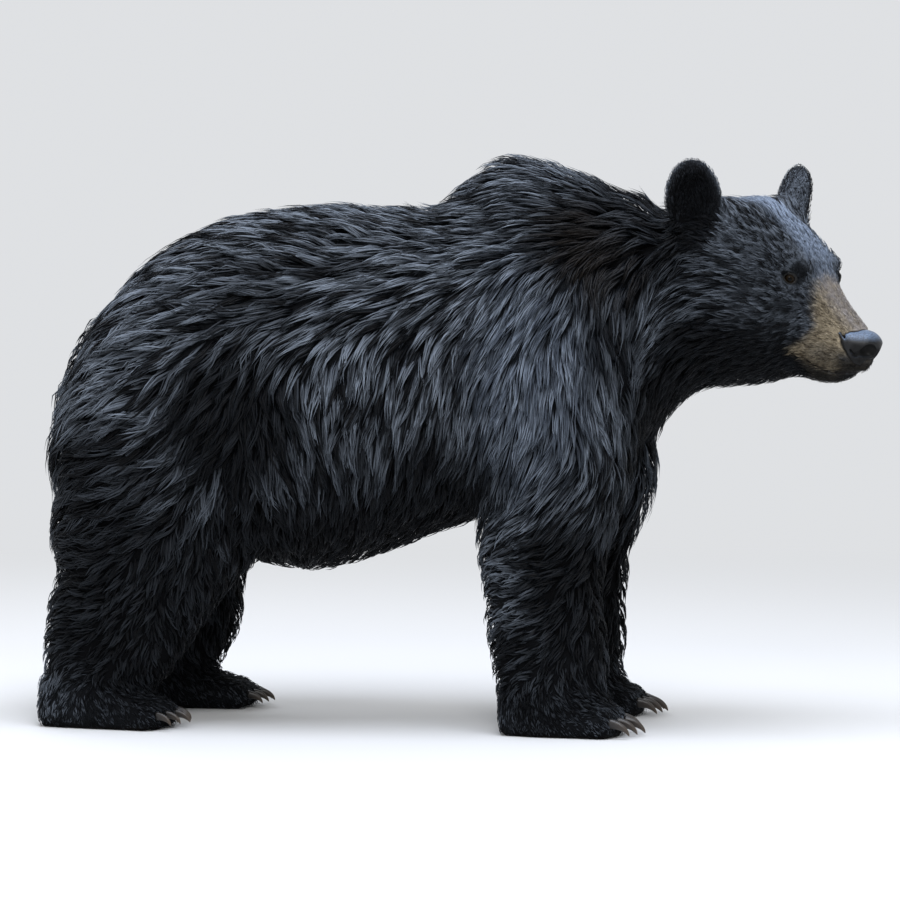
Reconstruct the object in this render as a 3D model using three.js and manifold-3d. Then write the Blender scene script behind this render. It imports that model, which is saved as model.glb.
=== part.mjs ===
// A standing black bear, life size, as one still model.
// Frame: +X is the way the bear stands, +Y its left, +Z up, millimetres.
// The origin is on the floor, under the middle of the whole model's box.
import * as THREE from 'three';
import { mergeVertices } from 'three/addons/utils/BufferGeometryUtils.js';
import Module from 'manifold-3d';

const wasm = await Module();
wasm.setup();

// ---------- driving dimensions, mm and degrees ----------
const ORIGIN_SHIFT = [-1.5, 0, 0]; // from the stance's own zero to the middle of the box
const HEAD_AT = [521, -80, 674]; // on the head's middle plane, level with the eyes
const HEAD_TURN = { yaw: -28, pitch: -17, roll: -1.5 };
const FORE_SPREAD = 138; // from the middle to the centre of a front foot
const HIND_SPREAD = 140;
const FORE_HEEL = { right: 80, left: 74 }; // x of the back of each front foot
const HIND_HEEL = { right: -618, left: -560 };
const FORE_FOOT_LENGTH = 185;
const HIND_FOOT_LENGTH = 212;
const FOOT_HEIGHT = 95; // a foot ends and the leg begins
const ELBOW_HEIGHT = 298;
const KNEE_HEIGHT = 225;
const TOES = 5;
const TOE_PITCH = 22;
const TOE_SIZE = [24, 14, 20];
const TOE_STAGGER = 7; // each toe stands this far behind its inner neighbour
const TOE_OVERHANG = 2; // the middle toe ends this far past the foot's length
const FORE_CLAW = { length: 40, root: 6.5, drop: 17 };
const HIND_CLAW = { length: 30, root: 5.5, drop: 13 };
const EYE_RADIUS = 12;
const EYE_AT = [6, 57.5, -3]; // in the head's frame, left eye
const SOCKET_AT = [13.5, 66.5, -3]; // the eye looks out along the line between the two
const SOCKET_SIZE = [13, 14.5, 9.5];
const EAR_AT = [-127, 129, 29.5]; // middle of the left ear's foot, in the head's frame
const EAR_WIDTH = 84;
const EAR_HEIGHT = 102;
const EAR_DEPTH = 56;
const EAR_RIM = 11; // how far the bowl stays inside the ear's outline
const EAR_BURIED = 20; // how far the ear's root goes into the head
const EAR_OUTWARD = 50; // the bowl opens this far off straight ahead
const EAR_LEAN = { upward: 0.05, aside: 0.27, back: -0.2 }; // slopes of the bowl and the ear
const EAR_MOUND = { at: [-128, 91, 40], size: [40, 40, 36] }; // the swelling an ear grows from
const BROW = { at: [-10, 44, 20], size: [32, 19, 15] };
const EYE_HOLLOW = { at: [20, 60, -4], size: [22, 12, 14] };
const NOSE_AT = [127, 0, -66];
const NOSE_SIZE = [24, 27, 22];
const MOUTH_LINE = -110;
const TAIL_AT = [-592, 0, 545];
const GAP = 0.3; // between neighbouring solids
const FAR = 1000;
const REACH = 110; // a form has no say beyond this distance
// Width of the fillet where each form joins the ones before it.
const BLEND = {
  withers: 80, foreleg: 50, hindleg: 60, neck: 90, head: 60, eyes: 18, mound: 36, foot: 25,
  toe: 8,
};

// Facet sizes, larger where the body is plain.
const FACET = {
  trunk: 58, neck: 52, head: 31, muzzle: 17, nose: 12, tail: 19,
  upper: 52, lower: 45, paw: 24.5,
};

// ---------- body sections ----------
// A row is [place along the axis, lowest, widest level, highest, half width, side shift].
const TRUNK = [
  [-590, 370, 455, 544, 95],
  [-555, 335, 460, 603, 150],
  [-500, 300, 460, 675, 190],
  [-400, 262, 450, 743, 215],
  [-300, 238, 440, 769, 228],
  [-200, 230, 440, 778, 235],
  [-100, 260, 450, 771, 232],
  [0, 302, 475, 762, 218],
  [100, 332, 500, 786, 198],
  [190, 370, 540, 780, 172],
  [250, 425, 570, 758, 145],
];
const WITHERS = [
  [-45, 600, 700, 748, 60],
  [0, 600, 700, 810, 75],
  [60, 600, 720, 855, 85],
  [120, 600, 730, 845, 82],
  [175, 600, 720, 817, 76],
  [235, 600, 700, 766, 74],
];
const NECK = [
  [190, 395, 560, 770, 165, 0],
  [260, 452, 590, 762, 150, 0],
  [330, 494, 612, 763, 142, -4],
  [400, 516, 630, 768, 136, -20],
  [450, 522, 640, 762, 124, -40],
];
// The skull's rows are in the head's frame, along its own forward axis.
const SKULL = [
  [-185, -143, -20, 56, 92],
  [-145, -170, -28, 66, 122],
  [-105, -172, -32, 68, 135],
  [-58, -160, -36, 63, 130],
  [-20, -149, -40, 53, 108],
  [10, -146, -45, 35, 84],
  [38, -144, -60, 6, 57],
  [68, -142, -72, -17, 49],
  [97, -134, -76, -33, 42],
  [112, -124, -79, -41, 35],
  [122, -115, -80, -46, 28],
  [131, -108, -85, -53, 18],
];
// A leg's row is [height, rear, thickest, front, half width, side].
const FORELEG = [
  [20, 82, 160, 235, 52, 138],
  [85, 66, 150, 235, 55, 136],
  [120, 60, 150, 236, 58, 134],
  [190, 48, 140, 228, 60, 132],
  [255, 41, 140, 232, 64, 130],
  [345, 36, 150, 258, 74, 126],
  [435, 22, 155, 278, 84, 120],
  [520, 16, 160, 284, 84, 106],
  [600, 40, 160, 262, 72, 92],
];
const HINDLEG = [
  [20, -622, -540, -470, 48, 140],
  [50, -622, -540, -450, 48, 140],
  [80, -618, -525, -425, 50, 140],
  [140, -614, -505, -380, 58, 138],
  [185, -608, -490, -350, 66, 136],
  [230, -597, -470, -315, 76, 134],
  [275, -606, -460, -302, 88, 132],
  [335, -605, -450, -284, 100, 126],
  [410, -612, -440, -276, 110, 116],
  [485, -592, -430, -280, 108, 104],
  [560, -552, -420, -292, 90, 92],
];
// [height, lead of the rear edge, lead of the front edge]: how far the left legs stand
// ahead of the right ones.
const LEFT_FORE_LEAD = [
  [100, -8, -14], [200, -8, 0], [250, -4, 4], [320, 4, 14], [380, 6, 9], [450, 8, -5],
  [520, 8, -12],
];
const LEFT_HIND_LEAD = [[90, 38, 22], [150, 16, 2], [180, 8, -18], [230, 0, -46], [350, 0, -46]];
// A foot's row is [from the heel, lowest, widest level, highest, half width]; what lies
// under the floor is cut away, which leaves a flat sole.
const FORE_FOOT = [
  [10, -20, 30, 82, 44],
  [60, -20, 30, 84, 52],
  [120, -20, 26, 64, 57],
  [155, -20, 22, 48, 58],
];
const HIND_FOOT = [
  [15, -20, 30, 72, 40],
  [60, -20, 30, 80, 46],
  [120, -20, 26, 68, 54],
  [175, -20, 22, 46, 57],
];
const TAIL = [
  [-50, -26, -5, 12, 24],
  [0, -26, -4, 16, 27],
  [42, -22, -4, 12, 20],
];

// ---------- frames ----------
// A frame's own axes are forward, left and up.
function placed(at, { yaw = 0, pitch = 0, roll = 0 } = {}) {
  const turn = new THREE.Matrix4().makeRotationZ(THREE.MathUtils.degToRad(yaw));
  turn.multiply(new THREE.Matrix4().makeRotationY(-THREE.MathUtils.degToRad(pitch)));
  turn.multiply(new THREE.Matrix4().makeRotationX(THREE.MathUtils.degToRad(roll)));
  return turn.setPosition(...at);
}

function placedOnAxes(at, forward, up) {
  const ahead = forward.clone().normalize();
  const top = up.clone().addScaledVector(ahead, -up.dot(ahead)).normalize();
  const left = new THREE.Vector3().crossVectors(top, ahead);
  return new THREE.Matrix4().makeBasis(ahead, left, top).setPosition(at);
}

const ZERO = placed([0, 0, 0]);
const HEAD = placed(HEAD_AT, HEAD_TURN);
const inHead = (u, v, w) => new THREE.Vector3(u, v, w).applyMatrix4(HEAD);

function earPlace(side) {
  const axes = [0, 1, 2].map((i) => new THREE.Vector3().setFromMatrixColumn(HEAD, i));
  const [ahead, left, up] = axes;
  const open = THREE.MathUtils.degToRad(EAR_OUTWARD);
  const facing = ahead.clone().multiplyScalar(Math.cos(open));
  facing.addScaledVector(left, Math.sin(open) * side).addScaledVector(up, EAR_LEAN.upward);
  const rise = up.clone().addScaledVector(left, EAR_LEAN.aside * side);
  rise.addScaledVector(ahead, EAR_LEAN.back);
  return placedOnAxes(inHead(EAR_AT[0], EAR_AT[1] * side, EAR_AT[2]), facing, rise);
}

// ---------- forms ----------
// A form is a function of a point: below zero inside, above zero outside, in mm.

// The smooth curve through a table's rows at s, with each row's slope from its neighbours.
function rowAt(rows, s) {
  const last = rows.length - 1;
  const at = Math.min(Math.max(s, rows[0][0]), rows[last][0]);
  let i = 0;
  while (i < last - 1 && at >= rows[i + 1][0]) i += 1;
  const span = rows[i + 1][0] - rows[i][0];
  const t = (at - rows[i][0]) / span;
  const slope = (k, c) => {
    const step = (a, b) => (rows[b][c] - rows[a][c]) / (rows[b][0] - rows[a][0]);
    if (k === 0) return step(0, 1);
    if (k === last) return step(last - 1, last);
    const before = rows[k][0] - rows[k - 1][0];
    const after = rows[k + 1][0] - rows[k][0];
    return (before * step(k, k + 1) + after * step(k - 1, k)) / (before + after);
  };
  const mix = t * t * (3 - 2 * t);
  const result = [];
  for (let c = 1; c < 6; c += 1) {
    const a = rows[i][c] ?? 0;
    const b = rows[i + 1][c] ?? 0;
    const bend = rows[i].length > c
      ? span * ((t * t * t - 2 * t * t + t) * slope(i, c) + (t * t * t - t * t) * slope(i + 1, c))
      : 0;
    result.push(a + (b - a) * mix + bend);
  }
  return result;
}

// Within reach of a box in a frame, answer(local point); elsewhere FAR.
function nearBox(place, low, high, answer) {
  const inverse = place.clone().invert();
  const box = new THREE.Box3(low.clone(), high.clone()).expandByScalar(REACH);
  const q = new THREE.Vector3();
  return (p) => {
    q.copy(p).applyMatrix4(inverse);
    return box.containsPoint(q) ? answer(q) : FAR;
  };
}

// A body carried along its rows: each section is a superellipse, and each end is
// closed by half an ellipsoid as long as its cap.
function loft(place, rows, { caps = [40, 40], power = 2, upright = false } = {}) {
  const ends = [rows[0][0], rows[rows.length - 1][0]];
  const side = (row, sign) => (row[5] ?? 0) + sign * row[4];
  const low = [ends[0] - caps[0], Math.min(...rows.map((r) => side(r, -1))),
    Math.min(...rows.map((r) => r[1]))];
  const high = [ends[1] + caps[1], Math.max(...rows.map((r) => side(r, 1))),
    Math.max(...rows.map((r) => r[3]))];
  if (upright) {
    low.reverse();
    high.reverse();
  }
  return nearBox(place, new THREE.Vector3(...low), new THREE.Vector3(...high), (q) => {
    const along = upright ? q.z : q.x;
    const [bottom, widest, top, half, shift] = rowAt(rows, along);
    const rise = (upright ? q.x : q.z) - widest;
    const aside = q.y - shift;
    const past = along - Math.min(Math.max(along, ends[0]), ends[1]);
    const reachUp = rise > 0 ? top - widest : widest - bottom;
    const flat = (Math.abs(aside / half) ** power + Math.abs(rise / reachUp) ** power) ** (1 / power);
    const ratio = Math.max(Math.hypot(flat, past / (past > 0 ? caps[1] : caps[0])), 0.001);
    const length = Math.hypot(aside, rise, past);
    return length - length / ratio;
  });
}

function ellipsoid(place, radii) {
  const r = new THREE.Vector3(...radii);
  return nearBox(place, r.clone().negate(), r, (q) => {
    const length = q.length();
    const ratio = Math.max(q.divide(r).length(), 0.001);
    return length - length / ratio;
  });
}

// Two forms joined or cut with a fillet about as wide as the blend.
function join(a, b, blend) {
  const h = Math.max(blend - Math.abs(a - b), 0) / blend;
  return Math.min(a, b) - (h * h * blend) / 4;
}
const carve = (a, b, blend) => -join(-a, b, blend);

function joined(parts) {
  return (p) => parts.reduce((d, [form, blend]) => join(d, form(p), blend), FAR);
}

// ---------- the bear's forms ----------
function leadAt(lead, height, edge) {
  const next = lead.findIndex((row) => height <= row[0]);
  if (next === 0) return lead[0][edge];
  if (next < 0) return lead[lead.length - 1][edge];
  const [below, above] = [lead[next - 1], lead[next]];
  const t = (height - below[0]) / (above[0] - below[0]);
  return below[edge] + (above[edge] - below[edge]) * t;
}

function legForm(rows, side, lead) {
  const own = rows.map(([z, rear, mid, front, half, y]) => {
    const [back, ahead] = side > 0 ? [leadAt(lead, z, 1), leadAt(lead, z, 2)] : [0, 0];
    return [z, rear + back, mid + (back + ahead) / 2, front + ahead, half, y * side];
  });
  return loft(ZERO, own, { caps: [30, 70], power: 2.1, upright: true });
}

const FEET = [
  { end: 'front', name: 'right', side: -1, turn: -4 },
  { end: 'front', name: 'left', side: 1, turn: 4 },
  { end: 'hind', name: 'right', side: -1, turn: -6 },
  { end: 'hind', name: 'left', side: 1, turn: 6 },
].map((foot) => {
  const fore = foot.end === 'front';
  const heel = (fore ? FORE_HEEL : HIND_HEEL)[foot.name];
  const spread = (fore ? FORE_SPREAD : HIND_SPREAD) * foot.side;
  return {
    ...foot,
    fore,
    place: placed([heel, spread, 0], { yaw: foot.turn }),
    rows: fore ? FORE_FOOT : HIND_FOOT,
    length: fore ? FORE_FOOT_LENGTH : HIND_FOOT_LENGTH,
    claw: fore ? FORE_CLAW : HIND_CLAW,
  };
});

// The middle of a toe, in its foot's frame; the middle toe stands furthest forward.
function toeAt(foot, toe) {
  const aside = toe - (TOES - 1) / 2;
  const ahead = foot.length - TOE_SIZE[0] + TOE_OVERHANG - TOE_STAGGER * Math.abs(aside);
  return new THREE.Vector3(ahead, TOE_PITCH * aside, TOE_SIZE[2]);
}

function footParts(foot) {
  const parts = [[loft(foot.place, foot.rows, { caps: [14, 22], power: 2.3 }), BLEND.foot]];
  for (let toe = 0; toe < TOES; toe += 1) {
    const at = toeAt(foot, toe).applyMatrix4(foot.place);
    parts.push([ellipsoid(placed(at.toArray(), { yaw: foot.turn }), TOE_SIZE), BLEND.toe]);
  }
  return parts;
}

const skull = loft(HEAD, SKULL, { caps: [45, 11], power: 2.15 });
const onSide = ([u, v, w], side) => HEAD.clone().setPosition(inHead(u, v * side, w));
const earMounds = [-1, 1].map((side) => ellipsoid(onSide(EAR_MOUND.at, side), EAR_MOUND.size));
const brows = [-1, 1].map((side) => ellipsoid(onSide(BROW.at, side), BROW.size));
const eyeHollows = [-1, 1].map((side) => ellipsoid(onSide(EYE_HOLLOW.at, side), EYE_HOLLOW.size));
const nose = ellipsoid(HEAD.clone().setPosition(inHead(...NOSE_AT)), NOSE_SIZE);

function face(p) {
  let d = skull(p);
  for (const i of [0, 1]) {
    d = join(d, earMounds[i](p), BLEND.mound);
    d = join(d, brows[i](p), BLEND.eyes);
    d = carve(d, eyeHollows[i](p), BLEND.eyes);
  }
  return d;
}

const bear = joined([
  [loft(ZERO, TRUNK, { caps: [38, 50], power: 2.25 }), 1],
  [loft(ZERO, WITHERS, { caps: [70, 60] }), BLEND.withers],
  [legForm(FORELEG, -1, LEFT_FORE_LEAD), BLEND.foreleg],
  [legForm(HINDLEG, -1, LEFT_HIND_LEAD), BLEND.hindleg],
  [legForm(FORELEG, 1, LEFT_FORE_LEAD), BLEND.foreleg],
  [legForm(HINDLEG, 1, LEFT_HIND_LEAD), BLEND.hindleg],
  [loft(ZERO, NECK, { caps: [80, 60], power: 2.1 }), BLEND.neck],
  [face, BLEND.head],
  ...FEET.flatMap(footParts),
]);
const tail = loft(placed(TAIL_AT, { yaw: 180, pitch: -65 }), TAIL, { caps: [30, 26] });

// ---------- solids ----------
function asSolid(geometry) {
  const { position } = geometry.attributes;
  return new wasm.Manifold(new wasm.Mesh({
    numProp: 3,
    vertProperties: Float32Array.from(position.array),
    triVerts: Uint32Array.from(geometry.index.array),
  }));
}

// Moves points onto a form's surface by Newton's method, never more than reach.
function settle(points, form, reach) {
  const p = new THREE.Vector3();
  const e = 0.5;
  for (const point of points) {
    for (let pass = 0; pass < 3; pass += 1) {
      const value = form(point);
      const slope = ['x', 'y', 'z'].map((axis) => {
        p.copy(point);
        p[axis] += e;
        return (form(p) - value) / e;
      });
      const steep = Math.max(slope[0] ** 2 + slope[1] ** 2 + slope[2] ** 2, 0.05);
      const move = value / steep;
      if (Math.abs(value) > reach || Math.abs(move) > reach) break;
      point.x -= slope[0] * move;
      point.y -= slope[1] * move;
      point.z -= slope[2] * move;
    }
  }
}

function eachEdgeTwice(quads) {
  const uses = new Map();
  for (const quad of quads) {
    quad.forEach((corner, n) => {
      const [a, b] = [corner.id, quad[(n + 1) % 4].id];
      const key = `${Math.min(a, b)} ${Math.max(a, b)}`;
      uses.set(key, (uses.get(key) ?? 0) + 1);
    });
  }
  return [...uses.values()].every((count) => count === 2);
}

// The closed surface of a form inside a box, as facets of about one size: a lattice is
// laid over the box, each cell that the surface crosses gives one point, and each
// lattice edge that it crosses gives four neighbours one quad.
function wrap(form, low, high, facet, shift) {
  const start = low.map((v) => v - facet * (1 + shift));
  const count = low.map((v, i) => Math.ceil((high[i] - start[i]) / facet) + 2);
  const [nx, ny, nz] = count;
  const index = (i, j, k) => (i * ny + j) * nz + k;
  const at = (i, j, k) => new THREE.Vector3(
    start[0] + i * facet, start[1] + j * facet, start[2] + k * facet,
  );
  const value = new Float64Array(nx * ny * nz);
  for (let i = 0; i < nx; i += 1) {
    for (let j = 0; j < ny; j += 1) {
      for (let k = 0; k < nz; k += 1) {
        const rim = i * j * k === 0 || i === nx - 1 || j === ny - 1 || k === nz - 1;
        const v = form(at(i, j, k));
        value[index(i, j, k)] = rim ? Math.max(v, facet / 3) : v;
      }
    }
  }
  const cells = new Map();
  const cell = (i, j, k) => {
    const id = index(i, j, k);
    if (!cells.has(id)) cells.set(id, { sum: new THREE.Vector3(), hits: 0, id: cells.size });
    return cells.get(id);
  };
  const faces = [];
  const axes = [[1, 0, 0], [0, 1, 0], [0, 0, 1]];
  for (let i = 0; i < nx; i += 1) {
    for (let j = 0; j < ny; j += 1) {
      for (let k = 0; k < nz; k += 1) {
        for (let a = 0; a < 3; a += 1) {
          const [di, dj, dk] = axes[a];
          if (i + di >= nx || j + dj >= ny || k + dk >= nz) continue;
          const v0 = value[index(i, j, k)];
          const v1 = value[index(i + di, j + dj, k + dk)];
          if ((v0 < 0) === (v1 < 0)) continue;
          const hit = at(i, j, k).lerp(at(i + di, j + dj, k + dk), v0 / (v0 - v1));
          const [b, c] = [axes[(a + 1) % 3], axes[(a + 2) % 3]];
          const quad = [[1, 1], [0, 1], [0, 0], [1, 0]].map(([s, t]) => cell(
            i - s * b[0] - t * c[0], j - s * b[1] - t * c[1], k - s * b[2] - t * c[2],
          ));
          for (const corner of quad) {
            corner.sum.add(hit);
            corner.hits += 1;
          }
          faces.push(v0 < 0 ? quad : quad.reverse());
        }
      }
    }
  }
  if (!eachEdgeTwice(faces)) return null;
  const points = [...cells.values()].map((c) => c.sum.divideScalar(c.hits));
  settle(points, form, 0.45 * facet);
  const triangles = [];
  for (const quad of faces) {
    const [a, b, c, d] = quad.map((corner) => corner.id);
    const longer = points[a].distanceTo(points[c]) > points[b].distanceTo(points[d]);
    triangles.push(...(longer ? [a, b, d, b, c, d] : [a, b, c, a, c, d]));
  }
  const geometry = new THREE.BufferGeometry().setFromPoints(points);
  geometry.setIndex(triangles);
  return geometry;
}

// A lattice can meet a fold so that two sheets share an edge; it is then laid again a
// little further over.
function bodyShape(form, low, high, facet) {
  for (let shift = 0; shift < 1; shift += 0.09) {
    const shape = wrap(form, low, high, facet, shift);
    if (shape) return shape;
  }
  throw new Error('no lattice closes this form');
}
const bodySolid = (...given) => asSolid(bodyShape(...given));

function block(place, low, high, grow = 0) {
  const size = low.map((v, i) => high[i] - v + 2 * grow);
  const box = new THREE.BoxGeometry(...size);
  box.deleteAttribute('normal').deleteAttribute('uv');
  const centre = low.map((v, i) => (high[i] + v) / 2);
  return asSolid(mergeVertices(box).translate(...centre).applyMatrix4(place));
}

function ball(place, radii, around, rings) {
  const sphere = new THREE.SphereGeometry(1, around, rings);
  sphere.deleteAttribute('normal').deleteAttribute('uv');
  return mergeVertices(sphere).scale(...radii).applyMatrix4(place);
}

// ---------- where the body is parted ----------
// Each region is grown by the gap where a neighbour is cut back from it.
const headRegion = (grow) => block(HEAD, [-165, -210, -215], [320, 210, 240], grow);
const muzzleRegion = (grow) => block(HEAD, [36, -130, -260], [330, 130, 60], grow);
const jawRegion = (grow) => block(HEAD, [16, -140, -220], [330, 140, MOUTH_LINE], grow);
const neckPlace = placed([200, 0, 805], { pitch: 13.5 });
const neckRegion = (grow) => block(neckPlace, [0, -320, -372], [420, 320, 120], grow);
const [INNER, OUTER] = [6, 400]; // a leg's own side of the body, across
const ownSide = (foot) => (foot.side < 0 ? [-OUTER, -INNER] : [INNER, OUTER]);
const footRegion = (foot, grow) => {
  const [rear, front] = foot.fore ? [20, 340] : [-680, -320];
  const y = ownSide(foot);
  return block(ZERO, [rear, y[0], 0], [front, y[1], FOOT_HEIGHT], grow);
};
const lowerLegRegion = (foot, grow) => {
  const [rear, front, top] = foot.fore ? [4, 360, ELBOW_HEIGHT] : [-690, -270, KNEE_HEIGHT];
  const y = ownSide(foot);
  return block(ZERO, [rear, y[0], FOOT_HEIGHT + GAP], [front, y[1], top], grow);
};
// The upper leg leaves the trunk at a plane that leans out from the armpit or the groin.
const upperLegRegion = (foot, grow) => {
  const [rear, front, floor] = foot.fore ? [-8, 330, ELBOW_HEIGHT] : [-690, -262, KNEE_HEIGHT];
  const [lean, hip, top] = [foot.fore ? 31.5 : 26.7, 60, 720];
  const hinge = placed([0, hip * foot.side, floor], { roll: -lean * foot.side });
  const y = foot.side < 0 ? [-OUTER, 0] : [0, OUTER];
  const leaning = block(hinge, [-FAR, y[0], -FAR / 2], [FAR, y[1], FAR / 2], grow);
  return leaning.intersect(block(ZERO, [rear, -OUTER, floor + GAP], [front, OUTER, top], grow));
};
const tailShape = bodyShape(tail, [-690, -60, 430], [-500, 60, 660], FACET.tail);
const noseShape = bodyShape(nose, [575, -175, 535], [670, -90, 620], FACET.nose);
// The same facets, swelled about a point inside them, cut the room for the piece.
const CLEARANCE = 1.05;
const roomFor = (shape, centre) => asSolid(
  shape.clone().translate(...centre.clone().negate().toArray())
    .scale(CLEARANCE, CLEARANCE, CLEARANCE).translate(...centre.toArray()),
);

// An ear is half an egg on edge, with a smaller egg taken out of its open side.
function earEgg(side, { ahead, narrower, facets }) {
  const place = earPlace(side);
  const rise = (EAR_HEIGHT - EAR_BURIED) / 2;
  place.setPosition(new THREE.Vector3(ahead, 0, rise).applyMatrix4(place));
  const deep = EAR_DEPTH / 2 - Math.min(narrower, 0);
  const tall = (EAR_HEIGHT + EAR_BURIED) / 2 - narrower;
  return asSolid(ball(place, [deep, EAR_WIDTH / 2 - narrower, tall], ...facets));
}
const earOutside = { ahead: -4, narrower: 0, facets: [14, 8] };
const earRoom = (side) => earEgg(side, { ...earOutside, narrower: -GAP });
const earBowl = (side) => earEgg(side, { ahead: 20.5, narrower: EAR_RIM, facets: [11, 7] });

const minus = (solid, cutters) => cutters.reduce((left, cutter) => left.subtract(cutter), solid);

// A claw is rings along a falling arc, each a little narrower than the last, closed by
// one point at each end. Grow makes the same claw larger all round, to cut its room.
function claw(foot, toe, grow = 0) {
  const { length, root, drop } = foot.claw;
  const steps = 3;
  const around = 5;
  const sweep = 1.2;
  const arc = (t) => new THREE.Vector3(length * Math.sin(sweep * t) / sweep, 0, -drop * t * t);
  const points = [];
  for (let i = 0; i < steps; i += 1) {
    const t = i / steps;
    const width = root * (1 - t) ** 0.7 + grow;
    const centre = arc(t);
    if (i === 0) centre.x -= grow;
    const tilt = Math.atan2(2 * drop * t, length * Math.cos(sweep * t));
    for (let j = 0; j < around; j += 1) {
      const a = (2 * Math.PI * j) / around;
      const up = 1.25 * width * Math.sin(a);
      const aside = 0.8 * width * Math.cos(a);
      const across = new THREE.Vector3(up * Math.sin(tilt), aside, up * Math.cos(tilt));
      points.push(across.add(centre));
    }
  }
  points.push(new THREE.Vector3(-grow, 0, 0), arc(1).add(new THREE.Vector3(2 * grow, 0, -grow)));
  const [rootEnd, tip] = [steps * around, steps * around + 1];
  const lastRing = (steps - 1) * around;
  const triangles = [];
  for (let j = 0; j < around; j += 1) {
    const next = (j + 1) % around;
    triangles.push(rootEnd, next, j);
    for (let i = 0; i < steps - 1; i += 1) {
      const [a, b] = [i * around + j, i * around + next];
      triangles.push(a, b, a + around, b, b + around, a + around);
    }
    triangles.push(lastRing + j, lastRing + next, tip);
  }
  const start = toeAt(foot, toe).add(new THREE.Vector3(TOE_SIZE[0] - 5, 0, 2));
  const spread = placed(start.toArray(), { yaw: 3 * (toe - (TOES - 1) / 2) });
  const geometry = new THREE.BufferGeometry().setFromPoints(points);
  geometry.setIndex(triangles);
  return geometry.applyMatrix4(spread).applyMatrix4(foot.place);
}

// ---------- the scene graph ----------
const materials = {
  fur: new THREE.MeshStandardMaterial({ color: 0x17191d, roughness: 0.62, metalness: 0 }),
  muzzle: new THREE.MeshStandardMaterial({ color: 0x6f6152, roughness: 0.7, metalness: 0 }),
  nose: new THREE.MeshStandardMaterial({ color: 0x14161a, roughness: 0.4, metalness: 0 }),
  eye: new THREE.MeshStandardMaterial({ color: 0x1c100a, roughness: 0.08, metalness: 0 }),
  claw: new THREE.MeshStandardMaterial({ color: 0x23201d, roughness: 0.38, metalness: 0 }),
};

const model = new THREE.Group();
model.position.set(...ORIGIN_SHIFT);

function addGeometry(name, geometry, material) {
  const mesh = new THREE.Mesh(geometry, materials[material]);
  mesh.name = name;
  model.add(mesh);
}

function addSolid(name, solid, material = 'fur') {
  const { numProp, vertProperties, triVerts } = solid.getMesh();
  if (numProp !== 3) throw new Error(`${name} carries more than positions`);
  const geometry = new THREE.BufferGeometry();
  geometry.setAttribute('position', new THREE.BufferAttribute(vertProperties, 3));
  geometry.setIndex(new THREE.BufferAttribute(triVerts, 1));
  addGeometry(name, geometry, material);
}

const sideName = (side) => (side < 0 ? 'right' : 'left');
const earCutters = [-1, 1].map(earRoom);
const upperCutters = FEET.map((foot) => upperLegRegion(foot, GAP));

const trunk = bodySolid(bear, [-650, -260, 215], [430, 260, 870], FACET.trunk);
addSolid('trunk', minus(trunk, [
  neckRegion(GAP), headRegion(GAP), roomFor(tailShape, new THREE.Vector3(...TAIL_AT)), ...upperCutters,
  ...FEET.map((foot) => lowerLegRegion(foot, GAP)),
]));

const neck = bodySolid(bear, [150, -260, 360], [560, 240, 880], FACET.neck);
addSolid('neck', minus(neck.intersect(neckRegion(0)), [headRegion(GAP), ...earCutters]));

const coarseHead = bodySolid(bear, [250, -330, 440], [690, 170, 870], FACET.head);
const fineHead = bodySolid(face, [430, -240, 470], [690, 20, 740], FACET.muzzle);
const eyeball = (side, grow) => {
  const radius = EYE_RADIUS + grow;
  return ball(onSide(EYE_AT, side), [radius, radius, radius], 10, 6);
};
const eyeCutters = [-1, 1].flatMap((side) => [
  asSolid(eyeball(side, GAP)),
  asSolid(ball(onSide(SOCKET_AT, side), SOCKET_SIZE, 11, 7)),
]);

addSolid('head', minus(coarseHead.intersect(headRegion(0)), [
  muzzleRegion(GAP), jawRegion(GAP), ...earCutters, ...eyeCutters,
]));
addSolid('muzzle', minus(fineHead.intersect(muzzleRegion(0)), [
  jawRegion(GAP), roomFor(noseShape, inHead(...NOSE_AT)),
]), 'muzzle');
addSolid('lower_jaw', fineHead.intersect(jawRegion(0)), 'muzzle');
addGeometry('nose', noseShape, 'nose');
addGeometry('tail', tailShape, 'fur');

for (const side of [-1, 1]) {
  addSolid(`ear_${sideName(side)}`, earEgg(side, earOutside).subtract(earBowl(side)));
  addGeometry(`eye_${sideName(side)}`, eyeball(side, 0), 'eye');
}

for (const foot of FEET) {
  const x = foot.fore ? [-90, 360] : [-700, -180];
  const y = foot.side < 0 ? [-280, 20] : [-20, 280];
  const spot = `${foot.end}_${foot.name}`;
  const upper = bodySolid(bear, [x[0], y[0], 190], [x[1], y[1], 700], FACET.upper);
  const lower = bodySolid(bear, [x[0], y[0], 50], [x[1], y[1], 380], FACET.lower);
  const paw = bodySolid(bear, [x[0], y[0], -45], [x[1], y[1], 130], FACET.paw);
  addSolid(`upper_leg_${spot}`, upper.intersect(upperLegRegion(foot, 0)));
  addSolid(`lower_leg_${spot}`, lower.intersect(lowerLegRegion(foot, 0)));
  const clawRooms = [];
  for (let toe = 0; toe < TOES; toe += 1) {
    addGeometry(`claw_${spot}_${toe + 1}`, claw(foot, toe), 'claw');
    clawRooms.push(asSolid(claw(foot, toe, 2 * GAP)));
  }
  addSolid(`paw_${spot}`, minus(paw.intersect(footRegion(foot, 0)), clawRooms));
}

export default model;
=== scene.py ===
"""A standing black bear, life size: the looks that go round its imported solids.

Shapes are worked out in millimetres, in the part's own frame: +X is the way the bear
stands, +Y its left, +Z up, and the floor is at 0. They are put into Blender in metres.
"""

import math

import bpy
import numpy as np
from bpy.props import FloatProperty, FloatVectorProperty, IntProperty, PointerProperty
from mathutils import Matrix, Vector
from mathutils.kdtree import KDTree


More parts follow.
